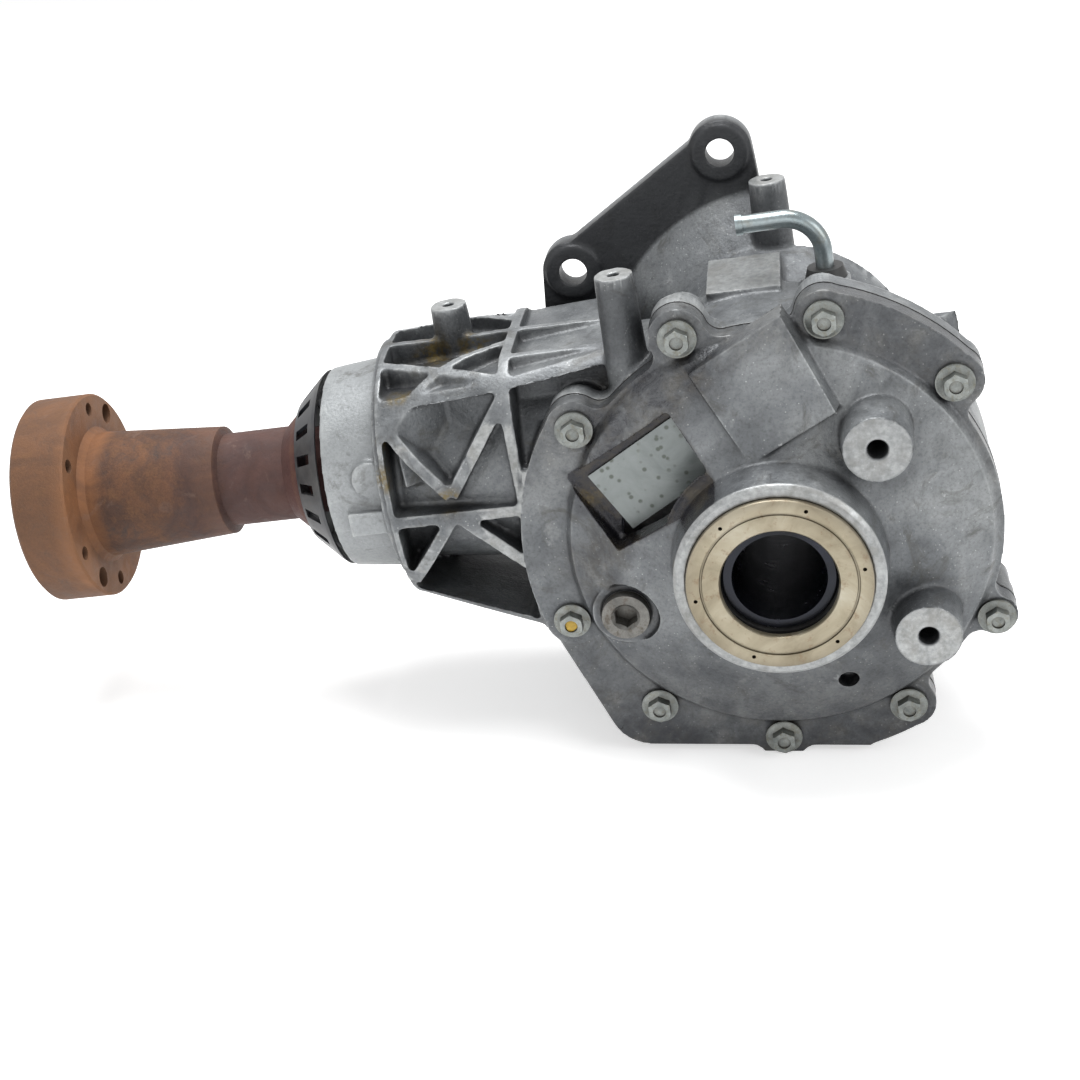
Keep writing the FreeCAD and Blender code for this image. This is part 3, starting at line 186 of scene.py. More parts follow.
# ------------------------------------------------------------------ materials
def cast_aluminium(name):
    """Die casting: mottled grey, worn edges, painted shade in the corners and creases, oil film, machined
    spots.
    """
    m = Mat(name)
    broad = m.noise(17, 5, 0.62, 0.7)
    middle = m.noise(85, 6, 0.68, 0.3)
    fine = m.noise(700, 4, 0.65)
    tone = m.ramp(broad, (0.32, (0.095, 0.102, 0.11)), (0.5, (0.17, 0.18, 0.188)),
                  (0.66, (0.26, 0.272, 0.276)))
    tone = m.mix(1.0, tone, m.ramp(middle, (0.28, 0.62), (0.5, 0.96), (0.72, 1.0)), "MULTIPLY")
    tone = m.mix(m.ramp(middle, (0.58, 0.0), (0.74, 0.45)), tone, (0.36, 0.37, 0.37))
    grain = m.ramp(fine, (0.3, 0.7), (0.52, 0.98), (0.7, 1.0))
    tone = m.mix(1.0, tone, grain, "MULTIPLY")
    flecks = m.math("MULTIPLY", m.ramp(m.cells(400), (0.0, 1.0), (0.17, 0.0)),
                    m.ramp(middle, (0.42, 0.0), (0.54, 0.9)))
    tone = m.mix(flecks, tone, (0.5, 0.51, 0.5))
    pits = m.ramp(m.cells(610), (0.05, 1.0), (0.17, 0.0))
    tone = m.mix(m.math("MULTIPLY", pits, 0.5), tone, (0.06, 0.063, 0.066))
    pale = m.mix(0.66, tone, (0.37, 0.388, 0.395))
    pale = m.mix(1.0, pale, m.ramp(fine, (0.3, 0.84), (0.6, 1.0)), "MULTIPLY")
    tone = m.mix(m.attribute("clean"), tone, pale)
    worn = m.math("MULTIPLY", m.ramp(m.edges(), (0.505, 0.0), (0.545, 1.0)),
                  m.ramp(middle, (0.3, 0.25), (0.6, 0.95)))
    tone = m.mix(m.math("MULTIPLY", worn, 0.75, True), tone, (0.5, 0.515, 0.515))
    # painted shade: darker deep in the pockets and corners
    pocket_shade = m.math("MULTIPLY", m.hollow(0.018), m.ramp(middle, (0.25, 1.0), (0.75, 0.6)))
    tone = m.mix(m.math("MULTIPLY", pocket_shade, 1.15, True), tone, (0.022, 0.023, 0.026))
    # painted shade: darker along the concave creases
    crease_shade = m.ramp(m.edges(), (0.44, 0.7), (0.492, 0.0))
    tone = m.mix(crease_shade, tone, (0.03, 0.03, 0.031))
    stain = m.ramp(m.noise(30, 6, 0.72, 1.6), (0.55, 0.0), (0.66, 0.6))
    tone = m.mix(stain, tone, (0.062, 0.06, 0.053))
    speckled = m.ramp(m.noise(130, 6, 0.75, 0.8), (0.34, 0.3), (0.5, 0.75), (0.66, 1.0))
    film = m.math("MULTIPLY", m.attribute("oil"), m.math("ADD", 0.3, speckled), True)
    oily = m.mix(m.ramp(middle, (0.45, 0.0), (0.65, 0.8)), (0.016, 0.016, 0.02), (0.05, 0.042, 0.03))
    tone = m.mix(film, tone, oily)
    patchy = m.ramp(m.noise(240, 4, 0.7), (0.4, 0.0), (0.56, 1.0))
    amber = m.math("MULTIPLY", m.attribute("amber"), patchy, True)
    tone = m.mix(m.math("MULTIPLY", amber, 0.8), tone, (0.13, 0.09, 0.018))
    # the dark layer: a darker rear plate, and painted shade on the posts' sides
    dimmed = m.mix(1.0, tone, (0.55, 0.55, 0.57), "MULTIPLY")
    tone = m.mix(m.attribute("dark"), tone, m.mix(0.13, (0.012, 0.013, 0.015), dimmed))
    bright = m.attribute("machined")
    turned = m.ramp(m.noise(360, 4, 0.65), (0.3, (0.23, 0.24, 0.24)), (0.7, (0.43, 0.44, 0.44)))
    turned = m.mix(m.ramp(middle, (0.45, 0.0), (0.64, 0.6)), turned, (0.17, 0.165, 0.15))
    tone = m.mix(bright, tone, turned)
    rough = m.ramp(middle, (0.3, 0.34), (0.7, 0.56))
    rough = m.mix(m.math("MULTIPLY", film, 0.8), rough, (0.18, 0.18, 0.18))
    m.set(Base_Color=tone, Roughness=m.mix(bright, rough, (0.32, 0.32, 0.32)), Metallic=0.45)
    relief = m.math("SUBTRACT", 1.0, m.math("MULTIPLY", bright, 0.85))
    m.bump((m.math("MULTIPLY", middle, relief), 0.4, 0.001),
           (m.math("MULTIPLY", fine, relief), 0.55, 0.0004),
           (m.math("MULTIPLY", pits, -1.0), 0.2, 0.0002))
    return m.mat


def rusted_steel():
    """Old rust: orange-brown on the flange, redder and darker along the thin neck, pale scuffs."""
    m = Mat("rusted_steel")
    broad = m.noise(20, 6, 0.66, 1.1)
    middle = m.noise(105, 6, 0.72, 0.5)
    fine = m.noise(950, 4, 0.7)
    tone = m.ramp(broad, (0.3, (0.034, 0.014, 0.009)), (0.48, (0.075, 0.032, 0.016)),
                  (0.66, (0.15, 0.062, 0.025)))
    tone = m.mix(m.ramp(middle, (0.52, 0.0), (0.7, 0.65)), tone, (0.17, 0.082, 0.038))
    tone = m.mix(m.ramp(middle, (0.26, 0.9), (0.46, 0.0)), tone, (0.018, 0.01, 0.008))
    tone = m.mix(1.0, tone, m.ramp(fine, (0.25, 0.6), (0.6, 1.0)), "MULTIPLY")
    lengthwise = m.split()[0]

    def along(start, end):
        node = m.add("ShaderNodeMapRange")
        m.link(lengthwise, node.inputs[0])
        node.inputs[1].default_value = start
        node.inputs[2].default_value = end
        return node.outputs[0]

    red = m.ramp(broad, (0.3, (0.036, 0.016, 0.015)), (0.7, (0.105, 0.048, 0.04)))
    tone = m.mix(m.math("MULTIPLY", along(-0.300, -0.262), 0.85), tone, red)
    tone = m.mix(m.math("MULTIPLY", along(-0.240, -0.226), 0.9), tone, (0.055, 0.014, 0.012))
    # painted highlight: a brighter orange band across the flange rim, as if lit
    band = m.math("MULTIPLY", along(-0.325, -0.331), along(-0.345, -0.336))
    rim_highlight = m.math("MULTIPLY", band, m.ramp(broad, (0.35, 0.3), (0.6, 0.9)))
    tone = m.mix(rim_highlight, tone, (0.23, 0.095, 0.035))
    scuff = m.ramp(m.noise(24, 6, 0.75, 1.2), (0.58, 0.0), (0.7, 0.45))
    tone = m.mix(scuff, tone, (0.2, 0.13, 0.1))
    tone = m.mix(m.ramp(m.edges(), (0.52, 0.0), (0.6, 0.5)), tone, (0.2, 0.1, 0.05))
    # painted shade: darker in the hollows
    tone = m.mix(m.math("MULTIPLY", m.hollow(0.01), 0.8, True), tone, (0.02, 0.01, 0.008))
    m.set(Base_Color=tone, Roughness=m.ramp(middle, (0.3, 0.6), (0.7, 0.82)), Metallic=0.1)
    m.bump((broad, 0.25, 0.0008), (middle, 0.5, 0.0007), (fine, 0.5, 0.0002))
    return m.mat


def metal(name, low, high, rough, metallic=0.85, scale=60, corner_shade=0.5, grain=0.3,
          tint=None, tint_share=0.0):
    """Plated or machined metal with blotches, fine grain and painted shade in the corners."""
    m = Mat(name)
    middle = m.noise(scale, 5, 0.6, 0.5)
    fine = m.noise(scale * 14, 3, 0.6)
    tone = m.ramp(middle, (0.3, low), (0.7, high))
    tone = m.mix(1.0, tone, m.ramp(fine, (0.3, 0.85), (0.7, 1.1)), "MULTIPLY")
    if tint:
        patches = m.ramp(m.noise(scale * 2.3, 5, 0.7), (0.5, 0.0), (0.66, tint_share))
        tone = m.mix(patches, tone, tint)
    # painted shade: darker in the corners
    tone = m.mix(m.math("MULTIPLY", m.hollow(0.005), corner_shade, True), tone, (0.05, 0.045, 0.038))
    m.set(Base_Color=tone, Metallic=metallic,
          Roughness=m.ramp(middle, (0.3, rough * 0.8), (0.7, rough * 1.25)))
    m.bump((middle, 0.15, 0.0003), (fine, grain, 0.00012))
    return m.mat


def dark_polymer(name, tone, rough, scale=300, dust=0.25):
    """Rubber, plastic, sealant or paint with a fine grain and a little dust."""
    m = Mat(name)
    fine = m.noise(scale, 4, 0.6)
    broad = m.noise(40, 4, 0.6)
    shade = m.mix(m.ramp(broad, (0.45, 0.0), (0.75, dust)), tone, (0.16, 0.155, 0.145))
    shade = m.mix(1.0, shade, m.ramp(fine, (0.3, 0.75), (0.7, 1.2)), "MULTIPLY")
    m.set(Base_Color=shade, Metallic=0.0,
          Roughness=m.ramp(broad, (0.3, rough * 0.8), (0.7, min(1.0, rough * 1.3))))
    m.bump((broad, 0.12, 0.0004), (fine, 0.25, 0.00015))
    return m.mat


def stained_plate():
    """Thin blank aluminium plate with dried spots and painted shade along its border."""
    m = Mat("stained_plate")
    broad = m.noise(42, 5, 0.65, 1.0)
    tone = m.ramp(broad, (0.3, (0.15, 0.167, 0.165)), (0.7, (0.25, 0.272, 0.268)))
    spots = m.ramp(m.cells(230), (0.16, 1.0), (0.3, 0.0))
    where = m.ramp(m.noise(48, 4, 0.6), (0.47, 0.0), (0.56, 0.85))
    tone = m.mix(m.math("MULTIPLY", spots, where, True), tone, (0.075, 0.085, 0.07))
    streak = m.ramp(m.noise(60, 4, 0.6, stretch=(1.0, 1.0, 0.15)), (0.60, 0.0), (0.72, 0.35))
    tone = m.mix(streak, tone, (0.34, 0.33, 0.24))
    # painted shade: darker in the corners round the plate's border
    rim = m.math("MULTIPLY", m.hollow(0.006), m.ramp(m.noise(150, 5, 0.7), (0.3, 1.5), (0.7, 0.7)))
    tone = m.mix(m.math("MULTIPLY", rim, 1.1, True), tone, (0.04, 0.04, 0.032))
    m.set(Base_Color=tone, Roughness=m.ramp(broad, (0.3, 0.3), (0.7, 0.5)), Metallic=0.5)
    m.bump((broad, 0.1, 0.0003), (spots, 0.2, 0.00008))
    return m.mat


def seal_steel():
    """Passivated pressed steel of the shaft seal, tan with turned rings and rust freckles."""
    m = Mat("seal_steel")
    radius = m.radius(m.split())
    wave = m.math("SINE", m.math("MULTIPLY", radius, 9000.0))
    broad = m.noise(38, 5, 0.6, 0.8)
    tone = m.ramp(broad, (0.28, (0.2, 0.17, 0.115)), (0.5, (0.31, 0.275, 0.2)),
                  (0.74, (0.43, 0.4, 0.32)))
    tone = m.mix(m.ramp(m.noise(260, 5, 0.7), (0.56, 0.0), (0.7, 0.6)), tone, (0.17, 0.105, 0.06))
    rim = m.ramp(radius, (0.0322, 0.0), (0.0330, 1.0), (0.0338, 1.0), (0.0345, 0.0),
                 (0.0385, 0.0), (0.0398, 0.9))
    tone = m.mix(m.math("MULTIPLY", rim, 0.6), tone, (0.1, 0.08, 0.06))
    # painted shade: darker in the hollows
    tone = m.mix(m.math("MULTIPLY", m.hollow(0.004), 0.8, True), tone, (0.035, 0.028, 0.02))
    m.set(Base_Color=tone, Roughness=m.ramp(broad, (0.3, 0.3), (0.7, 0.46)), Metallic=0.7)
    m.bump((wave, 0.12, 0.00003), (m.noise(500, 3, 0.6), 0.2, 0.00008))
    return m.mat


def bore_steel():
    """Oily steel, near-black in the bore and at the front, its darkness partly painted shade of the deep
    bore; ground steel on the splined rear end.
    """
    m = Mat("bore_steel")
    axis = m.split()
    wave = m.math("SINE", m.math("MULTIPLY", axis[1], 1500.0))
    broad = m.noise(50, 4, 0.6)
    # near-black oily steel, partly painted shade of the deep bore
    tone = m.ramp(broad, (0.3, (0.004, 0.005, 0.007)), (0.7, (0.016, 0.018, 0.027)))
    outside = m.math("GREATER_THAN", m.radius(axis), 0.0212)
    rear = m.math("MULTIPLY", outside, m.math("GREATER_THAN", axis[1], 0.0))
    ground = m.ramp(m.noise(120, 5, 0.6), (0.3, (0.16, 0.16, 0.165)), (0.7, (0.36, 0.36, 0.365)))
    # painted shade: darker in the spline corners
    ground = m.mix(m.math("MULTIPLY", m.hollow(0.004), 0.9, True), ground, (0.03, 0.028, 0.025))
    tone = m.mix(rear, tone, ground)
    m.set(Base_Color=tone, Roughness=m.ramp(broad, (0.3, 0.16), (0.7, 0.3)), Metallic=0.6)
    m.bump((m.math("MULTIPLY", wave, m.ramp(broad, (0.5, 0.0), (0.66, 1.0))), 0.12, 0.0002),
           (m.noise(700, 3, 0.6), 0.1, 0.0001))
    return m.mat


CAST = cast_aluminium("cast_aluminium")
ZINC = metal("zinc_plated_steel", (0.125, 0.137, 0.132), (0.28, 0.294, 0.281), rough=0.34, metallic=0.75,
             scale=190, corner_shade=1.3, grain=0.3, tint=(0.13, 0.12, 0.085), tint_share=0.65)
PIPE = metal("zinc_tube", (0.17, 0.205, 0.215), (0.33, 0.375, 0.385), rough=0.3, metallic=0.8,
             scale=55, corner_shade=0.5, grain=0.15, tint=(0.2, 0.17, 0.12), tint_share=0.35)
MACHINED = metal("machined_steel", (0.28, 0.28, 0.29), (0.42, 0.42, 0.43), 0.34, 0.9, 90)
HARDENED = metal("hardened_steel", (0.2, 0.2, 0.21), (0.34, 0.34, 0.35), 0.26, 0.95, 90)
PLUG = metal("plug_steel", (0.085, 0.083, 0.077), (0.21, 0.205, 0.19), rough=0.45, metallic=0.6,
             scale=130, corner_shade=1.1, grain=0.4, tint=(0.06, 0.042, 0.026), tint_share=0.7)
SOFT_METAL = metal("soft_metal", (0.4, 0.4, 0.4), (0.55, 0.55, 0.54), 0.4, 0.8, 120)
RUST = rusted_steel()
SEAL = seal_steel()
BORE = bore_steel()
PLATE = stained_plate()
RUBBER = dark_polymer("black_rubber", (0.012, 0.012, 0.012), 0.55)
SHIELD = dark_polymer("black_shield", (0.014, 0.016, 0.02), 0.38, 220, 0.4)
GASKET = dark_polymer("sealing_compound", (0.016, 0.016, 0.017), 0.6)
PAINT = dark_polymer("yellow_mark", (0.42, 0.27, 0.03), 0.5, 400, 0.1)

FINISH = {
    "main_case": CAST, "side_cover": CAST, "cover_gasket": GASKET, "front_seal_case": SEAL,
    "front_seal_lip": RUBBER, "front_shim": HARDENED, "filler_plug": PLUG,
    "filler_plug_washer": SOFT_METAL, "label_plate": PLATE, "rear_seal": RUBBER,
    "pilot_oring": RUBBER, "pinion_seal": RUBBER, "breather_pipe": PIPE,
    "breather_grommet": RUBBER, "hollow_shaft": BORE, "gear_carrier": MACHINED,
    "ring_gear": HARDENED, "pinion_gear": HARDENED, "crush_spacer": MACHINED,
    "pinion_nut": MACHINED, "output_flange": RUST, "dust_shield": SHIELD,
}
for node_name, node in NODES.items():  # the bearings and their rollers are hardened steel
    finish = FINISH.get(node_name) or (ZINC if node_name.startswith("cover_bolt") else HARDENED)
    node.data.materials.clear()
    node.data.materials.append(finish)


# ------------------------------------------------------------------ cast pieces with rounded edges
def evaluated(obj, name):
    """The object's mesh with its modifiers applied."""
    graph = bpy.context.evaluated_depsgraph_get()
    graph.update()
    mesh = bpy.data.meshes.new_from_object(obj.evaluated_get(graph))
    mesh.name = name
    return mesh


def rounded_casting(node, name, voxel, passes, most_faces):
    """Copy of a cast node whose edges and corners are rounded as foundry work is."""
    mesh = NODES[node].data.copy()
    shell = bmesh.new()
    shell.from_mesh(mesh)
    bmesh.ops.remove_doubles(shell, verts=shell.verts, dist=2e-6)
    shell.to_mesh(mesh)
    shell.free()
    obj = bpy.data.objects.new(name, mesh)
    bpy.context.scene.collection.objects.link(obj)
    swell = obj.modifiers.new("swell", "DISPLACE")
    swell.mid_level = 0.0
    swell.strength = THIN_EDGE
    remesh = obj.modifiers.new("grain", "REMESH")
    remesh.mode = "VOXEL"
    remesh.voxel_size = voxel
    soften = obj.modifiers.new("soften", "SMOOTH")
    soften.factor = 0.5
    soften.iterations = passes
    shrink = obj.modifiers.new("shrink", "DISPLACE")
    shrink.mid_level = 0.0
    shrink.strength = -THIN_EDGE
    obj.data = evaluated(obj, name + "_dense")
    obj.modifiers.clear()
    share = most_faces / max(1, 2 * len(obj.data.polygons))
    if share < 1.0:
        thin = obj.modifiers.new("thin", "DECIMATE")
        thin.ratio = share
        obj.data = evaluated(obj, name)
        obj.modifiers.clear()
    obj.data.polygons.foreach_set("use_smooth", [True] * len(obj.data.polygons))
    return obj


def per_vertex(mesh, field):
    """The vertices' "co" or "normal", one row each."""
    values = np.zeros(len(mesh.vertices) * 3)
    mesh.vertices.foreach_get(field, values)
    return values.reshape(-1, 3)


def store(mesh, name, values):
    """Keep a value for each vertex, for the cast material to read."""
    attribute = mesh.attributes.new(name, "FLOAT", "POINT")
    attribute.data.foreach_set("value", np.clip(values, 0, 2).astype(np.float32))


def step(value, low, high):
    """0 below low, 1 above high, smooth between."""
    t = np.clip((value - low) / (high - low), 0, 1)
    return t * t * (3 - 2 * t)


def square_to_pinion(at):
    """Coordinates along the pinion axis, across it, and above the shaft axis."""
    c, s = math.cos(LEAN), math.sin(LEAN)
    return at[:, 0] * c + at[:, 2] * s, at[:, 1], -at[:, 0] * s + at[:, 2] * c


def round_mount(at, name):
    """A mount's axis, and how far each point lies along it and out from it."""
    axis = np.array(Vector(MOUNTS[name]["axis"]).normalized())
    d = at - np.array(MOUNTS[name]["pos_m"])
    along = d @ axis
    return axis, along, np.linalg.norm(d - np.outer(along, axis), axis=1)


def near_mount(at, normal, name, radius, depth=0.0012, face=None):
    """1 on the flat face round a mount, 0 elsewhere. The face lies this far along its axis."""
    axis, along, out = round_mount(at, name)
    if face is None:
        face = MOUNTS[name]["dims"]["length_mm"] / 2000
    facing = step(normal @ axis, 0.6, 0.9)
    close = 1 - step(out, radius * 0.93, radius)
    return facing * close * (1 - step(np.abs(along - face), depth, depth * 2))


def blot(at, spots):
    """Soft blots at (x, y, z, radius) places, in metres square to the pinion."""
    px, py, pz = square_to_pinion(at)
    total = np.zeros(len(at))
    for x, y, z, radius in spots:
        d = np.sqrt((px - x) ** 2 + (py - y) ** 2 + (pz - z) ** 2)
        total = np.maximum(total, 1 - step(d, radius * 0.45, radius))
    return total


def paint(obj, **layers):
    """Give a casting its layers and its material."""
    for name, values in layers.items():
        store(obj.data, name, values)
    obj.data.materials.clear()
    obj.data.materials.append(CAST)


case = rounded_casting("main_case", "case_casting", 0.0008, 7, 195000)
at = per_vertex(case.data, "co")
normal = per_vertex(case.data, "normal")
px, py, pz = square_to_pinion(at)
machined = np.zeros(len(at))
for post in POSTS:
    machined = np.maximum(machined, 0.85 * near_mount(at, normal, post, POST_R, 0.0015, 0.008))
for ear in EARS:
    machined = np.maximum(machined, 0.7 * near_mount(at, normal, ear, EAR_R))
machined = np.maximum(machined, step(at[:, 1], 0.0605, 0.0618) * (np.abs(normal[:, 1]) > 0.9))
on_pad = (np.abs(px + 0.005) < 0.0165) & (np.abs(py - 0.002) < 0.0185)
pad = on_pad & (pz > 0.097) & (normal[:, 2] > 0.85)
machined = np.maximum(machined, 0.8 * pad)
joint_face = (np.abs(at[:, 1] + 0.057) < 0.0006) * (normal[:, 1] < -0.9)
machined = np.maximum(machined, 0.9 * joint_face)
plate = step(at[:, 1], 0.0455, 0.0475) * (1 - step(at[:, 1], 0.0585, 0.0605))
plate = plate * step(np.hypot(px - 0.0064, pz - 0.0394), 0.0835, 0.0865)
# painted shade: the posts' sides are darkened, leaving their tops light
post_side_shade = np.zeros(len(at))
for post in POSTS:
    _, along, out = round_mount(at, post)
    shaft = step(along, -0.03, -0.02) * (1 - step(along, 0.0065, 0.0075))
    post_side_shade = np.maximum(post_side_shade, (out < POST_R + 0.0003) * shaft)
nose = 1 - step(px, -0.181, -0.177)
oil = 0.5 * blot(at, ((-0.1475, -0.058, 0.030, 0.014), (-0.151, -0.002, 0.082, 0.022),
                      (-0.165, -0.035, 0.075, 0.015)))
oil = np.maximum(oil, 0.55 * step(-pz, 0.015, 0.075) * step(px, -0.16, -0.10))
amber = blot(at, ((-0.1475, -0.058, 0.0305, 0.008), (-0.1513, -0.0023, 0.0835, 0.010),
                  (-0.1356, -0.0023, 0.084, 0.008), (-0.1639, -0.0406, 0.0776, 0.008),
                  (-0.1745, -0.0587, 0.0451, 0.008), (-0.172, -0.050, 0.060, 0.006)))
paint(case, clean=nose, dark=np.maximum(plate, 0.55 * post_side_shade), oil=oil, amber=amber, machined=machined)
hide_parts("main_case")
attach(case, "case")

cover = rounded_casting("side_cover", "cover_casting", 0.0007, 4, 180000)
at = per_vertex(cover.data, "co")
normal = per_vertex(cover.data, "normal")
px, py, pz = square_to_pinion(at)
radius = np.hypot(at[:, 0], at[:, 2])
machined = 0.8 * near_mount(at, normal, "cover_boss_1", BOSS_R, 0.0015)
machined = np.maximum(machined, near_mount(at, normal, "cover_boss_2", BOSS_R, 0.0015))
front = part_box("side_cover")[0].y
machined = np.maximum(machined, 0.9 * (1 - step(at[:, 1] - front, 0.0016, 0.0032)) * (radius < 0.049))
turn = math.radians(30.0)
label_x, label_z = -0.0555, 0.0385
u = (px - label_x) * math.cos(turn) + (pz - label_z) * math.sin(turn)
v = -(px - label_x) * math.sin(turn) + (pz - label_z) * math.cos(turn)
inside = (1 - step(np.abs(u), 0.0275, 0.0305)) * (1 - step(np.abs(v), 0.018, 0.021))
oil = 1.6 * inside
oil = np.maximum(oil, 0.7 * blot(at, ((-0.0712, -0.0726, 0.0586, 0.026), (-0.0476, -0.0742, 0.0745, 0.024),
                                      (-0.0269, -0.0757, 0.0865, 0.018), (-0.060, -0.070, 0.072, 0.02))))
oil = np.maximum(oil, 0.55 * blot(at, ((-0.0855, -0.0752, -0.0036, 0.022), (-0.0725, -0.077, -0.0255, 0.017),
                                       (-0.0732, -0.0787, 0.0099, 0.016), (-0.0812, -0.068, 0.030, 0.014))))
lower = step(-at[:, 2], 0.03, 0.10)
oil = np.maximum(oil, 0.5 * lower)
flange = step(radius, 0.093, 0.096) * step(at[:, 2], 0.0, 0.05)
oil = np.maximum(oil, 0.4 * flange)
amber = 0.5 * blot(at, ((-0.0812, -0.0687, 0.030, 0.006), (-0.045, -0.109, 0.012, 0.006)))
paint(cover, clean=np.zeros(len(at)), dark=0.1 * lower, oil=oil, amber=amber, machined=machined)
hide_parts("side_cover")
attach(cover, "case")


# ------------------------------------------------------------------ small pieces
def paint_dot(bolt, radius, thick):
    """Domed dab of marking paint in the dimple of a bolt head."""
    low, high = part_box(bolt)
    center = Vector(((low.x + high.x) / 2, low.y + 0.0009, (low.z + high.z) / 2))
    dab = bmesh.new()
    bmesh.ops.create_uvsphere(dab, u_segments=24, v_segments=12, radius=radius)
    for v in dab.verts:
        a = math.atan2(v.co.z, v.co.x)
        v.co.x *= 1 + 0.08 * math.sin(3 * a + 0.7)
        v.co.z *= 1 + 0.08 * math.sin(2 * a)
        v.co.y *= thick / radius
        v.co += center
    mesh = bpy.data.meshes.new("paint_mark")
    dab.to_mesh(mesh)
    dab.free()
    mesh.polygons.foreach_set("use_smooth", [True] * len(mesh.polygons))
    mesh.materials.append(PAINT)
    obj = bpy.data.objects.new("paint_mark", mesh)
    bpy.context.scene.collection.objects.link(obj)
    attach(obj, "case")


def seal_ring():
    """Pressed seal ring: rolled rim, groove, flat disc down to the shaft, six small round holes."""
    profile = ((0.0400, -0.1062), (0.0400, -0.1134), (0.0397, -0.1141), (0.0391, -0.1144), (0.0345, -0.1144),
               (0.0341, -0.1142), (0.0338, -0.1134), (0.0332, -0.1134), (0.0329, -0.1140), (0.0324, -0.1142),
               (0.0268, -0.1142), (0.0258, -0.1139), (0.0252, -0.1131), (0.0251, -0.1112), (0.0262, -0.1112),
               (0.0270, -0.1122), (0.0380, -0.1122), (0.0384, -0.1116), (0.0384, -0.1062))
    steps, holes, hole_circle, hole_r = 160, 6, 0.0365, 0.0009
    ring = bmesh.new()
    rows = []
    for k in range(steps):
        a = 2 * math.pi * k / steps
        rows.append([ring.verts.new((r * math.cos(a), y, r * math.sin(a))) for r, y in profile])
    for k in range(steps):
        here, there = rows[k], rows[(k + 1) % steps]
        for n in range(len(profile)):
            m = (n + 1) % len(profile)
            ring.faces.new((here[n], there[n], there[m], here[m]))
    bmesh.ops.recalc_face_normals(ring, faces=ring.faces)
    mesh = bpy.data.meshes.new("seal_ring")
    ring.to_mesh(mesh)
    ring.free()
    obj = bpy.data.objects.new("seal_ring", mesh)
    bpy.context.scene.collection.objects.link(obj)
    drill = bmesh.new()
    turn = Matrix.Rotation(math.radians(90), 4, "X")
    for k in range(holes):
        a = math.radians(12 + 360 / holes * k)
        place = Matrix.Translation((hole_circle * math.cos(a), -0.1135, hole_circle * math.sin(a)))
        bmesh.ops.create_cone(drill, cap_ends=True, segments=16, radius1=hole_r, radius2=hole_r,
                              depth=0.004, matrix=place @ turn)
    tool_mesh = bpy.data.meshes.new("drill")
    drill.to_mesh(tool_mesh)
    drill.free()
    tool = bpy.data.objects.new("drill", tool_mesh)
    bpy.context.scene.collection.objects.link(tool)
    cut = obj.modifiers.new("holes", "BOOLEAN")
    cut.operation = "DIFFERENCE"
    cut.solver = "EXACT"
    cut.object = tool
    obj.data = evaluated(obj, "seal_ring")
    obj.modifiers.clear()
    bpy.data.objects.remove(tool)
    for polygon in obj.data.polygons:
        polygon.use_smooth = True
    obj.data.set_sharp_from_angle(angle=math.radians(35))
    obj.data.materials.clear()
    obj.data.materials.append(SEAL)
    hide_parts("front_seal_case")
    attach(obj, "case")


seal_ring()
paint_dot("cover_bolt_9", 0.0029, 0.0006)


# ------------------------------------------------------------------ floor, light and camera
def seen_background(tree):
    """1 for the rays that show the background, 0 for those that light the object."""
    path = tree.nodes.new("ShaderNodeLightPath")
    seen = path.outputs["Is Camera Ray"]
    for ray in ("Is Glossy Ray", "Is Transmission Ray"):
        wider = tree.nodes.new("ShaderNodeMath")
        wider.operation = "MAXIMUM"
        tree.links.new(seen, wider.inputs[0])
        tree.links.new(path.outputs[ray], wider.inputs[1])
        seen = wider.outputs[0]
    return seen


def floor():
    """Pale matt floor. It glows only for the rays that show the background."""
    bpy.ops.mesh.primitive_plane_add(size=12, location=(0, 1.0, FOOT_Z - 0.0002))
    obj = bpy.context.object
    obj.name = "floor"
    m = Mat("floor_pale")
    soft = m.noise(1.5, 2, 0.5)
    m.set(Base_Color=m.ramp(soft, (0.3, (0.9, 0.9, 0.9)), (0.7, (0.93, 0.93, 0.93))), Roughness=0.9)
    m.set(Emission_Color=(1, 1, 1, 1), Emission_Strength=m.math("MULTIPLY", seen_background(m.tree), 0.5))
    obj.data.materials.append(m.mat)


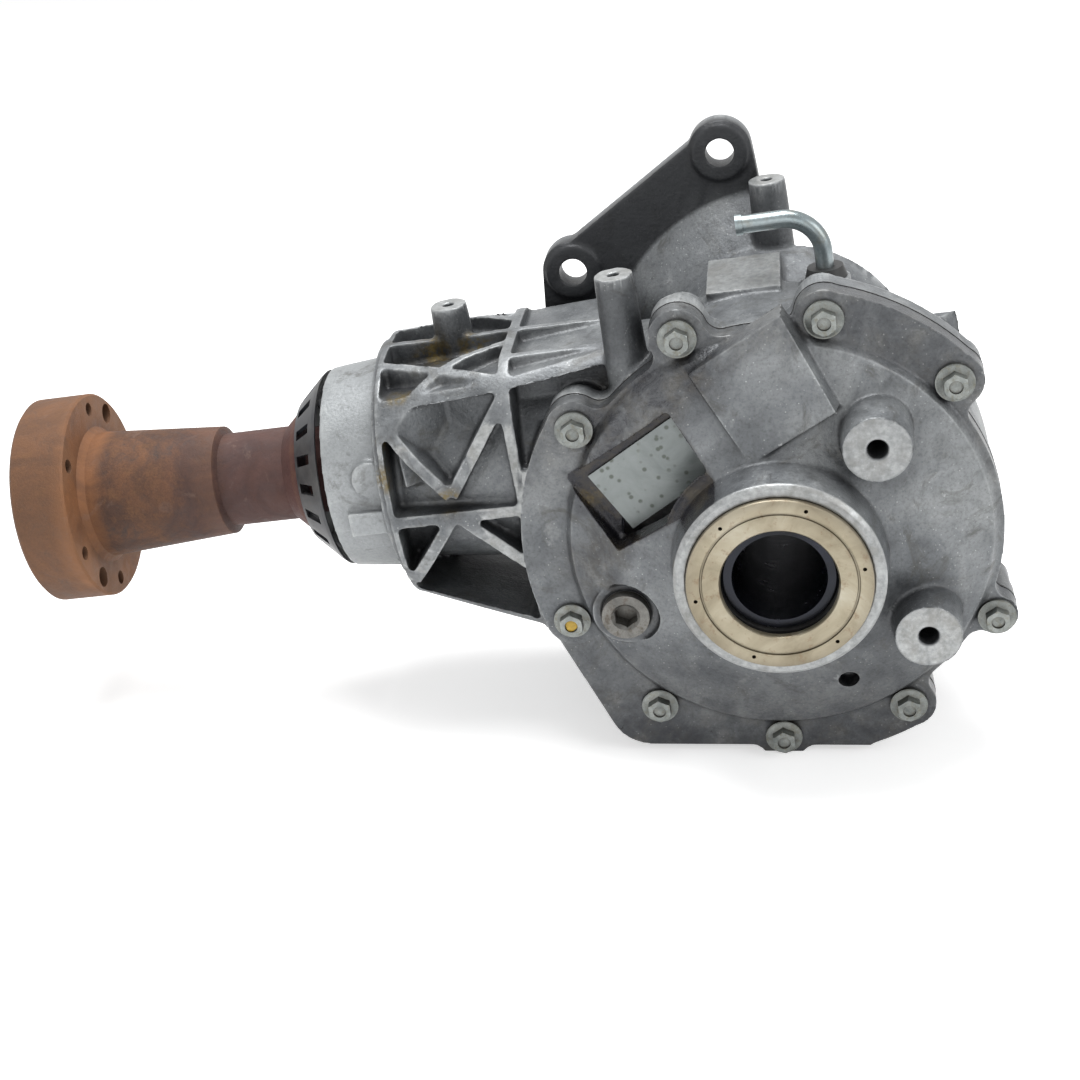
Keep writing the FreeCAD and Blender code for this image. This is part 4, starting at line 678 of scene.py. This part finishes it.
def world():
    """White where it is seen, and dimmer where it lights the object."""
    back = bpy.data.worlds.new("studio")
    bpy.context.scene.world = back
    back.use_nodes = True
    tree = back.node_tree
    tree.nodes.clear()
    out = tree.nodes.new("ShaderNodeOutputWorld")
    shade = tree.nodes.new("ShaderNodeBackground")
    level = tree.nodes.new("ShaderNodeMapRange")
    tree.links.new(seen_background(tree), level.inputs[0])
    level.inputs[3].default_value = 0.4
    level.inputs[4].default_value = 1.0
    tree.links.new(level.outputs[0], shade.inputs["Strength"])
    shade.inputs["Color"].default_value = (1, 1, 1, 1)
    tree.links.new(shade.outputs[0], out.inputs[0])


def lamp(name, place, aim, size, power):
    """Square soft lamp, with its size in metres and its power in watts."""
    data = bpy.data.lights.new(name, "AREA")
    data.shape = "SQUARE"
    data.size = size
    data.energy = power
    obj = bpy.data.objects.new(name, data)
    obj.location = place
    obj.rotation_euler = (Vector(aim) - Vector(place)).to_track_quat("-Z", "Y").to_euler()
    bpy.context.scene.collection.objects.link(obj)


def camera():
    """Camera at the photograph's viewing angle. The lens is in pixels of the photograph."""
    photo_width, focal_pixels = 1080, 1954.15
    data = bpy.data.cameras.new("view")
    data.sensor_width = 36.0
    data.lens = focal_pixels / photo_width * data.sensor_width
    data.shift_x = 0.0007
    data.shift_y = 0.0031
    obj = bpy.data.objects.new("view", data)
    right = Vector((0.9914, 0.1138, -0.0655)).normalized()
    forward = Vector((-0.1310, 0.8856, -0.4456))
    forward = (forward - right * forward.dot(right)).normalized()
    up = right.cross(forward)
    place = Vector((0.00776, -0.8508, 0.39153))
    turn = Matrix((right, up, -forward)).transposed().to_4x4()
    obj.matrix_world = Matrix.Translation(place) @ turn
    bpy.context.scene.collection.objects.link(obj)
    bpy.context.scene.camera = obj


floor()
world()
lamp("key", (-0.15, 0.15, 1.2), (-0.05, 0.0, 0.0), 0.8, 21)
lamp("front", (0.2, -1.7, 0.6), (-0.1, 0.0, 0.0), 1.0, 4.5)
lamp("low", (-0.75, -1.2, 0.0), (-0.12, -0.05, -0.02), 0.7, 3)
lamp("right", (1.2, -0.5, 0.7), (-0.1, 0.0, 0.0), 0.8, 6.5)
camera()
bpy.context.scene.view_settings.view_transform = "Standard"
